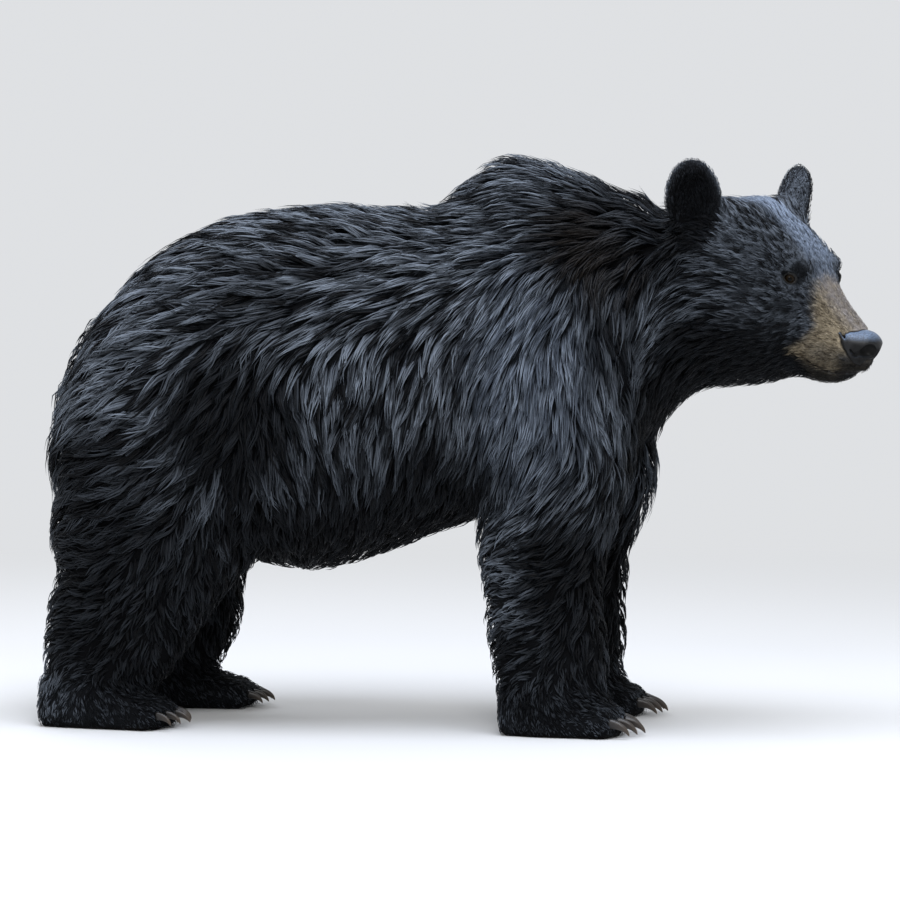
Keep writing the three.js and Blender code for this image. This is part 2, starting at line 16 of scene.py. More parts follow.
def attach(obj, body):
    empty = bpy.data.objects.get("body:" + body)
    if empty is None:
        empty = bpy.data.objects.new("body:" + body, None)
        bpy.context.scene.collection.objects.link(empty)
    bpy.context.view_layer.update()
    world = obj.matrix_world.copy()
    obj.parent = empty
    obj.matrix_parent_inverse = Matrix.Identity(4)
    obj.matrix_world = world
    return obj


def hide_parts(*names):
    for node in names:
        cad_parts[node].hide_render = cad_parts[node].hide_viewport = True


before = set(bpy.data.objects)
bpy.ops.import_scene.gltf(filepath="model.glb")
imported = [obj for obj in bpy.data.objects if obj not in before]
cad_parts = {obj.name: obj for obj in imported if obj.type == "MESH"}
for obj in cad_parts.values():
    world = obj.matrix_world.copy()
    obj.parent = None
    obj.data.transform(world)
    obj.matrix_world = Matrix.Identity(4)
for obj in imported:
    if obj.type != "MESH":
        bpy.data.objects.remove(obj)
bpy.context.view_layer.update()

bl_info = {
    "name": "Black bear",
    "version": (1, 0, 0),
    "blender": (4, 5, 0),
    "location": "3D View > Sidebar > Bear",
    "description": "Builds the skin, coat, face, claws and stage of a life-size black bear",
    "category": "Add Mesh",
}

MM = 0.001
SIDES = {"right": -1, "left": 1}
PIECE_LIMIT = 200000  # triangles that a piece of coat must stay below


def linear(code):
    """An sRGB hex colour as linear red, green and blue."""
    share = [int(code[i : i + 2], 16) / 255 for i in (1, 3, 5)]
    return tuple(s / 12.92 if s <= 0.04045 else ((s + 0.055) / 1.055) ** 2.4 for s in share)


# ---------- the bear's sizes, mm and degrees, as its solids have them ----------
ORIGIN_SHIFT = np.array([-1.5, 0.0, 0.0])  # from the stance's own zero to the box's middle
HEAD_AT = (521, -80, 674)
HEAD_TURN = dict(yaw=-28, pitch=-17, roll=-1.5)
FORE_SPREAD, HIND_SPREAD = 138, 140
FORE_HEEL = {"right": 80, "left": 74}
HIND_HEEL = {"right": -618, "left": -560}
FORE_FOOT_LENGTH, HIND_FOOT_LENGTH = 185, 212
FOOT_HEIGHT, ELBOW_HEIGHT, KNEE_HEIGHT = 95, 298, 225
TOES, TOE_PITCH, TOE_STAGGER, TOE_OVERHANG = 5, 22, 7, 2
TOE_SIZE = (24, 14, 20)
FORE_CLAW = dict(length=40, root=6.5, drop=17)
HIND_CLAW = dict(length=30, root=5.5, drop=13)
EYE_RADIUS = 12
EYE_AT = (6, 57.5, -3)  # in the head's frame, left eye
GAZE_TOWARDS = (13.5, 66.5, -3)  # the eye looks out through this point
LID_RADIUS = 13.2  # the skin bulges this far round the eye's middle
LIDS = dict(wide=44, high=33, low=27)  # degrees from the gaze to the lids' edge
LID_POWER = 1.75
EYE_SLANT = 10  # degrees by which an eye's inner corner is lower
SOCKET_WIDER = 7  # degrees by which the hole in the skin is wider than the lids' edge
SOCKET_REACH = 24  # how far from the eye's middle the hole ends
EAR_AT = (-127, 129, 29.5)
EAR_RISE = 41  # middle of the ear's egg above its foot
EAR_OUTWARD = 50
EAR_LEAN = dict(upward=0.05, aside=0.27, back=-0.2)
EAR_SHELL = dict(back=3, size=(24, 39.5, 58.5))
EAR_BOWL = dict(ahead=19, down=9, size=(27, 31, 53))
EAR_MOUND = dict(at=(-128, 91, 40), size=(40, 40, 36))  # the swelling an ear grows from
BROW = dict(at=(-10, 44, 20), size=(32, 19, 15))
EYE_HOLLOW = dict(at=(20, 60, -4), size=(22, 12, 14))
NOSE_AT, NOSE_SIZE = (127, 0, -66), (24, 26, 21.5)
NOSE_LOBES = (((112, 16, -68), (22, 18.5, 17)), ((123, 15, -80), (14, 12, 10.5)))
# The nose's left wing, the crease behind it and the comma of its nostril: the line, the
# radii along it, the blend, and whether it cuts.
NOSE_LINES = (
    (
        [(100, 34, -58), (113, 31, -71), (120, 28, -81), (128, 20.5, -90), (133, 15, -92),
         (137, 10, -85)],
        (1.8, 2.6, 3, 3, 3, 2.2), 3, False,
    ),
    (
        [(101, 31.5, -56), (116, 30.5, -68), (123.5, 27, -78), (128, 22.5, -83)],
        (1.2, 1.7, 1.8, 1.4), 2, True,
    ),
    ([(129, 25.5, -81), (137, 21, -76), (147, 15, -73)], (3.0, 6.0, 9.0), 3, True),
)
NOSTRIL = ((149, 14.5, -71.5), (19, 11.5, 12.5))
NOSE_GROOVE = ((153, 0, -82), (10, 1.3, 18))
MOUTH_CORNER = 34  # the lips are parted from here forward
LIP_GAP, LIP_DEPTH = 0.9, 7  # half the gap between the lips, and how deep it goes
# Level of the line between the lips along the head.
MOUTH = [
    (30, -104), (52, -109), (72, -114.5), (92, -117), (108, -114.5), (120, -110), (136, -104)
]
TAIL_AT, TAIL_TURN = (-592, 0, 545), dict(yaw=180, pitch=-65)
BLEND = dict(
    withers=80, foreleg=50, hindleg=60, neck=90, head=60, eyes=18, mound=36, foot=25,
    toe=8, tail=12, ear=16, bowl=6, orbit=7, socket=1.5, nostrils=2, lips=2.5,
)
FAR = 1000.0
REACH = 110  # a form has no say beyond this distance
# The head, its own hair and the face lie wholly ahead of these places along x.
HEAD_FROM, HAIRY_HEAD_FROM, FACE_FROM = 250, 280, 380

# A row is place along the axis, lowest, widest level, highest, half width, side shift.
TRUNK = [
    (-590, 370, 455, 544, 95, 0),
    (-555, 335, 460, 603, 150, 0),
    (-500, 300, 460, 675, 190, 0),
    (-400, 262, 450, 743, 215, 0),
    (-300, 238, 440, 769, 228, 0),
    (-200, 230, 440, 778, 235, 0),
    (-100, 260, 450, 771, 232, 0),
    (0, 302, 475, 762, 218, 0),
    (100, 332, 500, 786, 198, 0),
    (190, 370, 540, 780, 172, 0),
    (250, 425, 570, 758, 145, 0),
]
WITHERS = [
    (-45, 600, 700, 748, 60, 0),
    (0, 600, 700, 810, 75, 0),
    (60, 600, 720, 855, 85, 0),
    (120, 600, 730, 845, 82, 0),
    (175, 600, 720, 817, 76, 0),
    (235, 600, 700, 766, 74, 0),
]
NECK = [
    (190, 395, 560, 770, 165, 0),
    (260, 452, 590, 762, 150, 0),
    (330, 494, 612, 763, 142, -4),
    (400, 516, 630, 768, 136, -20),
    (450, 522, 640, 762, 124, -40),
]
SKULL = [
    (-185, -143, -20, 56, 92, 0),
    (-145, -170, -28, 66, 122, 0),
    (-105, -172, -32, 68, 135, 0),
    (-58, -160, -36, 63, 130, 0),
    (-20, -149, -40, 53, 108, 0),
    (10, -146, -45, 35, 84, 0),
    (38, -144, -60, 6, 57, 0),
    (68, -142, -72, -17, 49, 0),
    (97, -134, -76, -33, 42, 0),
    (112, -124, -79, -41, 35, 0),
    (122, -115, -80, -46, 28, 0),
    (131, -108, -85, -53, 18, 0),
]
# A leg's row is height, rear, thickest, front, half width, side.
FORELEG = [
    (20, 82, 160, 235, 52, 138),
    (85, 66, 150, 235, 55, 136),
    (120, 60, 150, 236, 58, 134),
    (190, 48, 140, 228, 60, 132),
    (255, 41, 140, 232, 64, 130),
    (345, 36, 150, 258, 74, 126),
    (435, 22, 155, 278, 84, 120),
    (520, 16, 160, 284, 84, 106),
    (600, 40, 160, 262, 72, 92),
]
HINDLEG = [
    (20, -622, -540, -470, 48, 140),
    (50, -622, -540, -450, 48, 140),
    (80, -618, -525, -425, 50, 140),
    (140, -614, -505, -380, 58, 138),
    (185, -608, -490, -350, 66, 136),
    (230, -597, -470, -315, 76, 134),
    (275, -606, -460, -302, 88, 132),
    (335, -605, -450, -284, 100, 126),
    (410, -612, -440, -276, 110, 116),
    (485, -592, -430, -280, 108, 104),
    (560, -552, -420, -292, 90, 92),
]
# Height, lead of the rear edge, lead of the front edge of the left legs.
LEFT_FORE_LEAD = [
    (100, -8, -14), (200, -8, 0), (250, -4, 4), (320, 4, 14), (380, 6, 9), (450, 8, -5),
    (520, 8, -12),
]
LEFT_HIND_LEAD = [(90, 38, 22), (150, 16, 2), (180, 8, -18), (230, 0, -46), (350, 0, -46)]
FORE_FOOT = [
    (10, -20, 30, 82, 44, 0),
    (60, -20, 30, 84, 52, 0),
    (120, -20, 26, 64, 57, 0),
    (155, -20, 22, 48, 58, 0),
]
HIND_FOOT = [
    (15, -20, 30, 72, 40, 0),
    (60, -20, 30, 80, 46, 0),
    (120, -20, 26, 68, 54, 0),
    (175, -20, 22, 46, 57, 0),
]
TAIL = [(-50, -26, -5, 12, 24, 0), (0, -26, -4, 16, 27, 0), (42, -22, -4, 12, 20, 0)]

# How far the skin lies inside the tips of the coat: by height on the body, and along
# the head from nape to nose.
DEPTH_BY_HEIGHT = [
    (0, 1.0), (12, 2.5), (45, 5.5), (95, 9), (225, 14.5), (330, 19), (450, 23), (600, 24)
]
DEPTH_ALONG_HEAD = [
    (-200, 26), (-150, 20), (-100, 15), (-50, 11), (-10, 7.5), (25, 5), (60, 3.4), (125, 2.6)
]
CROWN_SHORTER = 0.45  # share of the depth that the crown and forehead lack
ORBIT_SHORTER, EARS_SHORTER = 0.62, 0.4  # the same round the eyes and the ears' feet
TAIL_DEPTH = 9
# Where the hair is longer or shorter than the skin's depth: x, z, radius and mm.
TUFTED = [
    (272, 778, 48, 4), (457, 786, 42, 7), (420, 505, 60, 4), (255, 330, 75, 3),
    (-130, 240, 150, -5), (50, 210, 60, -4), (90, 838, 50, -3),
]

# The lie of the coat on each side, seen from the side: x, z, and the way the hair points,
# in degrees down from straight back. Below 0 is up and back, over 90 down and forward.
LIE = [
    (-231, 715, -14), (-377, 673, 5), (-494, 601, 20), (-552, 514, 18), (-202, 601, 32),
    (-183, 521, 84), (-230, 443, 112), (-127, 769, -6), (-68, 716, 24), (-127, 659, 22),
    (-10, 659, 42), (48, 602, 58), (-98, 530, 76), (-10, 515, 80), (136, 631, 66),
    (194, 544, 92), (77, 808, 14), (121, 836, -4), (165, 745, 14), (208, 644, 86),
    (63, 569, 67), (167, 505, 90), (234, 479, 102), (89, 376, 76), (141, 362, 56),
    (101, 286, 26), (141, 259, 10), (285, 569, 92), (351, 595, 98), (-546, 421, 17),
    (-465, 401, 22), (-369, 421, 58), (-514, 341, 15), (-450, 326, 30), (-322, 326, 82),
    (-290, 341, 98), (-258, 358, 106), (-401, 247, 76), (-337, 232, 104), (-563, 263, 6),
    (-563, 184, 8), (-482, 152, 60), (-386, 152, 106), (-546, 90, 18), (-430, 42, 135),
    (-348, 472, 62), (90, 200, 14), (200, 200, 62), (215, 120, 80), (100, 110, 20),
    (200, 40, 140), (110, 40, 100), (-520, 50, 125), (-595, 45, 80), (-100, 300, 84),
    (-200, 262, 80), (0, 350, 84), (300, 745, 18), (250, 700, 44), (330, 670, 74),
    (300, 450, 96), (-600, 600, 40), (0, 770, 6), (-300, 765, -4), (180, 290, 48),
    (330, 610, 88), (360, 640, 84), (370, 590, 88), (300, 640, 82), (345, 690, 76),
    (-612, 560, 52), (-625, 480, 60), (-625, 380, 58), (-625, 280, 56), (-630, 180, 50),
]
LIE_SOFTNESS = 26  # how far one guide's say is evened out
# The same on the head, in its own frame: u, w, degrees down from straight back.
FACE_LIE = [
    (110, -45, -14), (80, -80, 4), (45, -90, 10), (100, -105, 8), (85, -132, 16),
    (60, -20, -12), (30, -15, -6), (5, -42, 14), (25, -60, 16), (0, 28, -6),
    (-40, 50, -4), (-110, 68, -4), (-50, 0, 6), (-50, -60, 12), (-90, -40, 22),
    (-60, -120, 26), (-110, -90, 48), (-20, -145, 22), (-100, -150, 54),
    (-150, -40, 72), (-150, 20, 40), (-170, -110, 84), (-110, 40, 2), (-165, 60, 8),
]
FACE_LIE_SOFTNESS = 16

# Markings, in the head's frame: where the tan of the muzzle begins at each level w.
TAN_BORDER = [
    (-150, 74), (-128, 62), (-112, 46), (-103, 32), (-90, 41), (-81, 50), (-58, 60),
    (-39, 48), (-7, 35), (10, 34), (28, 52),
]
TAN_FADE = 9
BRIDGE = [(20, 5), (60, -16), (100, -36), (130, -52)]  # its level along the muzzle
# Painted shade on the coat on both sides, where it lies in shadow, in the side view: middle,
# radii and strength.
PAINTED_SHADE_PARTS = {
    "thigh": ((-305, 488), (110, 120), 1.0),
    "croup": ((-258, 632), (80, 48), 0.65),
    "back of the thigh": ((-495, 382), (115, 100), 0.85),
    "hind leg": ((-450, 190), (190, 230), 0.95),
    "belly": ((-140, 265), (170, 130), 1.0),
    "lower flank": ((-110, 400), (120, 90), 0.55),
    "behind the elbow": ((-15, 385), (62, 115), 0.95),
    "forearm": ((195, 220), (75, 150), 1.0),
    "wrist and paw": ((160, 90), (130, 110), 0.85),
    "front of the foreleg": ((255, 330), (62, 85), 0.65),
    "chest": ((332, 482), (92, 112), 1.0),
    "before the shoulder": ((250, 612), (58, 85), 0.65),
    "neck": ((275, 728), (130, 76), 0.85),
    "throat": ((430, 545), (130, 64), 1.0),
    "cheek": ((440, 652), (110, 100), 0.5),
}
# Painted shade in the hollows over and below the eye and under the ear: middle, radii and
# strength, on the left side of the head.
FACE_SHADES = [
    ((20, 56, 6), (28, 17, 20), 0.95), ((14, 70, -42), (22, 22, 16), 0.9),
    ((-122, 118, 0), (44, 42, 38), 1.0),
]
# Painted light that makes the shoulder paler in the side view, and the brown-black cast
# behind the right ear, which the left side has too.
PAINTED_SHOULDER_LIGHT = dict(at=(130, 530), size=(95, 190), strength=0.3)
BROWN_PATCH = dict(at=(222, -140, 725), size=(95, 110, 92))


# ---------- frames ----------
def placed(at, yaw=0.0, pitch=0.0, roll=0.0):
    """A frame: its origin, and its forward, left and up axes as the rows of a matrix."""
    y, p, r = np.radians([yaw, pitch, roll])
    forward = np.array([np.cos(p) * np.cos(y), np.cos(p) * np.sin(y), np.sin(p)])
    left = np.array([-np.sin(y), np.cos(y), 0.0])
    up = np.cross(forward, left)
    axes = np.stack(
        [forward, left * np.cos(r) + up * np.sin(r), up * np.cos(r) - left * np.sin(r)]
    )
    return np.array(at, float) + ORIGIN_SHIFT, axes


def own(at):
    """A frame inside another one, moved but not turned."""
    return np.array(at, float), np.eye(3)


def into(place, points):
    """Points of the part's frame, in another frame."""
    return (points - place[0]) @ place[1].T


def out_of(place, points):
    """Points of another frame, in the part's frame."""
    return points @ place[1] + place[0]


def mirrored(at, side):
    """A place of the head's left side, on the side asked for."""
    return np.array([at[0], at[1] * side, at[2]], float)


def unit(vectors):
    """Vectors made one long."""
    length = np.linalg.norm(vectors, axis=-1, keepdims=True)
    return vectors / np.maximum(length, 1e-9)


ZERO = placed((0, 0, 0))
HEAD = placed(HEAD_AT, **HEAD_TURN)


def ear_place(side):
    """The ear's frame: forward is the way its bowl opens, up is towards its tip."""
    ahead, left, up = HEAD[1]
    opening = math.radians(EAR_OUTWARD)
    facing = unit(
        ahead * math.cos(opening)
        + left * math.sin(opening) * side
        + up * EAR_LEAN["upward"]
    )
    rise = up + left * EAR_LEAN["aside"] * side + ahead * EAR_LEAN["back"]
    top = unit(rise - facing * (rise @ facing))
    foot = out_of(HEAD, mirrored(EAR_AT, side))
    return foot, np.stack([facing, np.cross(top, facing), top])


EARS = {side: ear_place(side) for side in SIDES.values()}


# ---------- forms ----------
def smooth(value, low, high):
    """0 below low and 1 above high, with an even step between them."""
    t = np.clip((value - low) / (high - low), 0, 1)
    return t * t * (3 - 2 * t)


def along(rows, value):
    """The second column of a two-column table at value, in straight lines."""
    table = np.array(rows, float)
    return np.interp(value, table[:, 0], table[:, 1])


def row_at(rows, s):
    """The smooth curve through a table's rows at s: cubic pieces between the rows, each
    with its slope from the rows on both sides."""
    table = np.asarray(rows, float)
    places, values = table[:, 0], table[:, 1:]
    slopes = np.gradient(values, places, axis=0)
    s = np.clip(s, places[0], places[-1])
    i = np.clip(np.searchsorted(places, s, side="right") - 1, 0, len(places) - 2)
    span = (places[i + 1] - places[i])[:, None]
    t = (s - places[i])[:, None] / span
    mix = t * t * (3 - 2 * t)
    bend = (t**3 - 2 * t * t + t) * slopes[i] + (t**3 - t * t) * slopes[i + 1]
    return values[i] * (1 - mix) + values[i + 1] * mix + span * bend


class Form:
    """A shape in a frame of its own. measure gives, for points of that frame, a distance
    in mm that is below zero inside; it is only asked within REACH of the form's box."""

    def __init__(self, place, low, high, measure):
        self.place, self.measure = place, measure
        self.low = np.asarray(low, float) - REACH
        self.high = np.asarray(high, float) + REACH

    def near(self, points):
        local = into(self.place, points)
        held = ((local > self.low) & (local < self.high)).all(1)
        return held, local[held]

    def __call__(self, points):
        value = np.full(len(points), FAR)
        held, local = self.near(points)
        if held.any():
            value[held] = self.measure(local)
        return value


def loft(place, rows, caps=(40, 40), power=2.0, upright=False):
    """A body carried along its rows: each section is a superellipse, each end is closed
    by half an ellipsoid as long as its cap. The distance is measured along the line from
    the section's middle."""
    table = np.asarray(rows, float)
    first, last = table[0, 0], table[-1, 0]
    low = [first - caps[0], (table[:, 5] - table[:, 4]).min(), table[:, 1].min()]
    high = [last + caps[1], (table[:, 5] + table[:, 4]).max(), table[:, 3].max()]
    if upright:
        low, high = low[::-1], high[::-1]

    def measure(q):
        s, height = (q[:, 2], q[:, 0]) if upright else (q[:, 0], q[:, 2])
        bottom, widest, top, half, shift = row_at(table, s).T
        rise, aside = height - widest, q[:, 1] - shift
        past = s - np.clip(s, first, last)
        reach = np.where(rise > 0, top - widest, widest - bottom)
        flat = (np.abs(aside / half) ** power + np.abs(rise / reach) ** power) ** (1 / power)
        ratio = np.hypot(flat, past / np.where(past > 0, caps[1], caps[0]))
        length = np.sqrt(aside**2 + rise**2 + past**2)
        return length - length / np.maximum(ratio, 0.001)

    return Form(place, low, high, measure)


def ellipsoid(place, radii):
    """An ellipsoid, measured along the line from its middle."""
    size = np.array(radii, float)

    def measure(q):
        length = np.linalg.norm(q, axis=1)
        return length - length / np.maximum(np.linalg.norm(q / size, axis=1), 0.001)

    return Form(place, -size, size, measure)


def tube(path, radii):
    """A round body along a bent line; its radius changes evenly from bend to bend."""
    path = np.array(path, float)

    def measure(q):
        best = np.full(len(q), FAR)
        for a, b, start, end in zip(path, path[1:], radii, radii[1:]):
            span = b - a
            t = np.clip((q - a) @ span / (span @ span), 0, 1)
            apart = np.linalg.norm(q - a - t[:, None] * span, axis=1)
            best = np.minimum(best, apart - start - (end - start) * t)
        return best

    return Form(own((0, 0, 0)), path.min(0), path.max(0), measure)


def join(a, b, blend):
    """Two forms joined, with a fillet about as wide as the blend."""
    h = np.maximum(blend - np.abs(a - b), 0) / blend
    return np.minimum(a, b) - h * h * blend / 4


def carve(a, b, blend):
    """Form b cut out of form a, with its edges rounded by the blend."""
    return -join(-a, b, blend)


def gathered(parts, points):
    """Forms put together in order; a part is the form, its blend, and whether it cuts."""
    value = np.full(len(points), FAR)
    for form, blend, cuts in parts:
        held, local = form.near(points)
        if held.any():
            own_value = form.measure(local)
            value[held] = (carve if cuts else join)(value[held], own_value, blend)
    return value


FACE_PARTS = [(loft(own((0, 0, 0)), SKULL, (45, 11), 2.15), 1, False)]
for mirror in SIDES.values():
    for shape, blend, cuts in (
        (EAR_MOUND, "mound", False), (BROW, "eyes", False), (EYE_HOLLOW, "eyes", True)
    ):
        spot = own(mirrored(shape["at"], mirror))
        FACE_PARTS.append((ellipsoid(spot, shape["size"]), BLEND[blend], cuts))
face = Form(HEAD, (-230, -135, -168), (150, 135, 68), lambda q: gathered(FACE_PARTS, q))


def leg_form(rows, side, lead):
    """A leg on one side; the left ones stand a little ahead, more so at some heights."""
    table = np.array(rows, float)
    table[:, 5] *= side
    if side > 0:
        steps = np.array(lead, float)
        rear = np.interp(table[:, 0], steps[:, 0], steps[:, 1])
        front = np.interp(table[:, 0], steps[:, 0], steps[:, 2])
        table[:, 1:4] += np.stack([rear, (rear + front) / 2, front], 1)
    return loft(ZERO, table, (30, 70), 2.1, upright=True)


def foot_list():
    """The feet: where each stands and how it is turned, its rows, length and claws."""
    feet = []
    for end, turn, heels, spread, rows, length, claw in (
        ("front", 4, FORE_HEEL, FORE_SPREAD, FORE_FOOT, FORE_FOOT_LENGTH, FORE_CLAW),
        ("hind", 6, HIND_HEEL, HIND_SPREAD, HIND_FOOT, HIND_FOOT_LENGTH, HIND_CLAW),
    ):
        for name, side in SIDES.items():
            place = placed((heels[name], spread * side, 0), yaw=turn * side)
            feet.append(
                dict(name=f"{end}_{name}", place=place, rows=rows, length=length, claw=claw)
            )
    return feet


FEET = foot_list()


def toe_at(foot, toe):
    """The middle of a toe in its foot's frame; the middle toe stands furthest forward."""
    aside = toe - (TOES - 1) / 2
    ahead = foot["length"] - TOE_SIZE[0] + TOE_OVERHANG - TOE_STAGGER * abs(aside)
    return np.array([ahead, TOE_PITCH * aside, TOE_SIZE[2]])


def bear_parts():
    """Trunk, legs, neck, head and feet, in the order in which they are joined."""
    trunk = loft(ZERO, TRUNK, (38, 50), 2.25)
    parts = [(trunk, 1, False), (loft(ZERO, WITHERS, (70, 60)), BLEND["withers"], False)]
    for side in SIDES.values():
        parts.append((leg_form(FORELEG, side, LEFT_FORE_LEAD), BLEND["foreleg"], False))
        parts.append((leg_form(HINDLEG, side, LEFT_HIND_LEAD), BLEND["hindleg"], False))
    parts.append((loft(ZERO, NECK, (80, 60), 2.1), BLEND["neck"], False))
    parts.append((face, BLEND["head"], False))
    for foot in FEET:
        parts.append((loft(foot["place"], foot["rows"], (14, 22), 2.3), BLEND["foot"], False))
        for toe in range(TOES):
            middle = out_of(foot["place"], toe_at(foot, toe))
            spot = (middle, foot["place"][1])
            parts.append((ellipsoid(spot, TOE_SIZE), BLEND["toe"], False))
    return parts


BEAR_PARTS = bear_parts()
tail_form = loft(placed(TAIL_AT, **TAIL_TURN), TAIL, (30, 26))


def ear_form(side):
    """The ear's skin is an egg on edge, joined to the head; then the bowl is taken out of
    both."""
    origin, axes = EARS[side]
    middle = origin + axes[2] * EAR_RISE - axes[0] * EAR_SHELL["back"]
    shell = ellipsoid((middle, axes), EAR_SHELL["size"])
    hollow = origin + axes[2] * (EAR_RISE - EAR_BOWL["down"]) + axes[0] * EAR_BOWL["ahead"]
    bowl = ellipsoid((hollow, axes), EAR_BOWL["size"])
    return shell, bowl


EAR_FORMS = {side: ear_form(side) for side in EARS}


def gaze(side):
    """The way an eye looks, in the head's frame."""
    return unit(mirrored(GAZE_TOWARDS, side) - mirrored(EYE_AT, side))


def eye_frame(side):
    """The eye's frame inside the head's: forward is its gaze, left is towards the nose,
    turned so that the inner corner is the lower one."""
    forward = gaze(side)
    up = np.array([0.0, 0.0, 1.0])
    inward = unit(np.cross(up, forward)) * -side
    slant = math.radians(EYE_SLANT)
    corner = inward * math.cos(slant) - up * math.sin(slant)
    top = up * math.cos(slant) + inward * math.sin(slant)
    return mirrored(EYE_AT, side), np.stack([forward, corner, top])


EYES = {side: eye_frame(side) for side in SIDES.values()}


def lid_edge(turn):
    """The lids' almond edge: degrees from the gaze at each turn round it. Turn 0 is
    towards the nose, and the half widths are joined as in a superellipse."""
    tall = np.where(np.sin(turn) > 0, LIDS["high"], LIDS["low"])
    ratio = np.abs(np.cos(turn) / LIDS["wide"]) ** LID_POWER
    ratio = ratio + np.abs(np.sin(turn) / tall) ** LID_POWER
    return ratio ** (-1 / LID_POWER)


def beyond_lids(side, local):
    """How many degrees points of the head's frame lie outside the lids' edge, and how
    far they are from the eye's middle."""
    ahead, corner, top = into(EYES[side], local).T
    polar = np.degrees(np.arctan2(np.hypot(corner, top), ahead))
    apart = np.sqrt(ahead**2 + corner**2 + top**2)
    return polar - lid_edge(np.arctan2(top, corner)), apart


def orbit_parts(side):
    """The skin's bulge over the eye, and the hole in it that the lids' rim covers."""
    middle = EYES[side][0]

    def hole(q):
        degrees, apart = beyond_lids(side, q)
        return np.maximum(np.radians(degrees - SOCKET_WIDER) * apart, apart - SOCKET_REACH)

    def bulge(q):
        return np.linalg.norm(q - middle, axis=1) - LID_RADIUS

    low, high = middle - EYE_RADIUS, middle + EYE_RADIUS
    return [Form(HEAD, low, high, measure) for measure in (bulge, hole)]


ORBITS = {side: orbit_parts(side) for side in EYES}


def nose_hull():
    """The nose pad without its nostrils: a domed front and two lobes on each side."""
    parts = [(ellipsoid(own(NOSE_AT), NOSE_SIZE), 1, False)]
    for side in SIDES.values():
        for at, radii in NOSE_LOBES:
            parts.append((ellipsoid(own(mirrored(at, side)), radii), 6, False))
    return parts


NOSE_HULL = nose_hull()


def nose_parts():
    """The nose pad: a domed front, a lobe on each side, the thin wing that runs down and
    forward round the lobe, the crease behind it, and a comma-shaped nostril that opens
    forward and down under the dome's edge, with the groove between the two."""
    parts = list(NOSE_HULL)
    for side in SIDES.values():
        for line, radii, blend, cuts in NOSE_LINES:
            parts.append((tube([mirrored(at, side) for at in line], radii), blend, cuts))
        parts.append((ellipsoid(own(mirrored(NOSTRIL[0], side)), NOSTRIL[1]), 3, True))
    parts.append((ellipsoid(own(NOSE_GROOVE[0]), NOSE_GROOVE[1]), 2, True))
    return parts


NOSE_PARTS = nose_parts()
# What the skin lacks behind the pad, so that the nostrils are deep.
NOSE_BED = Form(
    HEAD, (88, -36, -92), (152, 36, -42), lambda q: gathered(NOSE_HULL, q) + 2.5
)


def nose_form(local):
    return gathered(NOSE_PARTS, local)


def nose_reach(local):
    """Distance to the pad as if its nostrils were filled."""
    return np.minimum(nose_form(local), gathered(NOSE_HULL, local))


def coat_depth(points):
    """How far the skin lies inside the tips of the coat: by height on the body, and along
    the head from its own frame, where the crown and the skin round the eyes are shorter
    haired."""
    u, v, w = into(HEAD, points).T
    body = along(DEPTH_BY_HEIGHT, points[:, 2])
    head = along(DEPTH_ALONG_HEAD, u) * (1 - CROWN_SHORTER * smooth(w, -20, 35))
    folded = np.stack([u, np.abs(v), w], 1)
    from_eye = np.linalg.norm(folded - EYE_AT, axis=1)
    head *= 1 - ORBIT_SHORTER * smooth(from_eye, 46, 16)
    from_ear = np.linalg.norm(folded - EAR_AT - (0, 0, 10), axis=1)
    head *= 1 - EARS_SHORTER * smooth(from_ear, 95, 50)
    on_head = smooth(u, -205, -135) * smooth(points[:, 2], 420, 480)
    return body + (head - body) * on_head * (points[:, 0] > HEAD_FROM)


def hair_depth(points):
    """The coat's depth, thin over the tail, with its longer and shorter stretches."""
    tail = smooth(tail_form(points), 26, 2)
    depth = coat_depth(points) * (1 - tail) + TAIL_DEPTH * tail
    for x, z, radius, more in TUFTED:
        apart = np.hypot(points[:, 0] - x, points[:, 2] - z)
        depth = depth + more * smooth(apart, radius, 0.3 * radius)
    return depth


def mouth_at(u):
    """The level of the line between the lips at each place along the head."""
    return row_at(MOUTH, u)[:, 0]


def lips(q):
    """A thin sheet along the mouth's line, which opens the lips."""
    u, v, w = q.T
    sheet = np.abs(w - mouth_at(u)) - LIP_GAP
    return np.maximum(np.maximum(sheet, MOUTH_CORNER - u), np.abs(v) - 60)


lip_gap = Form(HEAD, (30, -60, -125), (140, 60, -95), lips)


def skin_form(points):
    """The skin: the whole outer form, less the coat's depth, joined to ears and tail,
    with the eye sockets and the gap between the lips cut in. The soles are flat."""
    value = gathered(BEAR_PARTS, points) + coat_depth(points)
    value = join(value, tail_form(points) + TAIL_DEPTH, BLEND["tail"])
    near_head = points[:, 0] > HEAD_FROM
    if near_head.any():
        close = points[near_head]
        part = value[near_head]
        for side, (shell, bowl) in EAR_FORMS.items():
            bulge, hole = ORBITS[side]
            part = join(part, shell(close), BLEND["ear"])
            part = carve(part, bowl(close), BLEND["bowl"])
            part = join(part, bulge(close), BLEND["orbit"])
            part = carve(part, hole(close), BLEND["socket"])
        part = carve(part, NOSE_BED(close), BLEND["nostrils"])
        held, local = lip_gap.near(close)
        slit = np.maximum(lip_gap.measure(local), -(part[held] + LIP_DEPTH))
        part[held] = carve(part[held], slit, BLEND["lips"])
        value[near_head] = part
    return np.maximum(value, -points[:, 2])


def slope_of(form, points, value=None, step=0.4):
    """A form's slope at points, from its values a small step along each axis."""
    if value is None:
        value = form(points)
    steps = np.eye(3) * step
    return np.stack([(form(points + shift) - value) / step for shift in steps], 1)


def settled(form, points, level=0.0, passes=2, reach=30.0):
    """Points moved onto one level of a form by Newton's method, and the slope there."""
    for _ in range(passes):
        value = form(points)
        slope = slope_of(form, points, value)
        steep = np.maximum((slope**2).sum(1), 0.05)
        move = np.clip((value - level) / steep, -reach, reach)
        points = points - slope * move[:, None]
    return points, unit(slope)


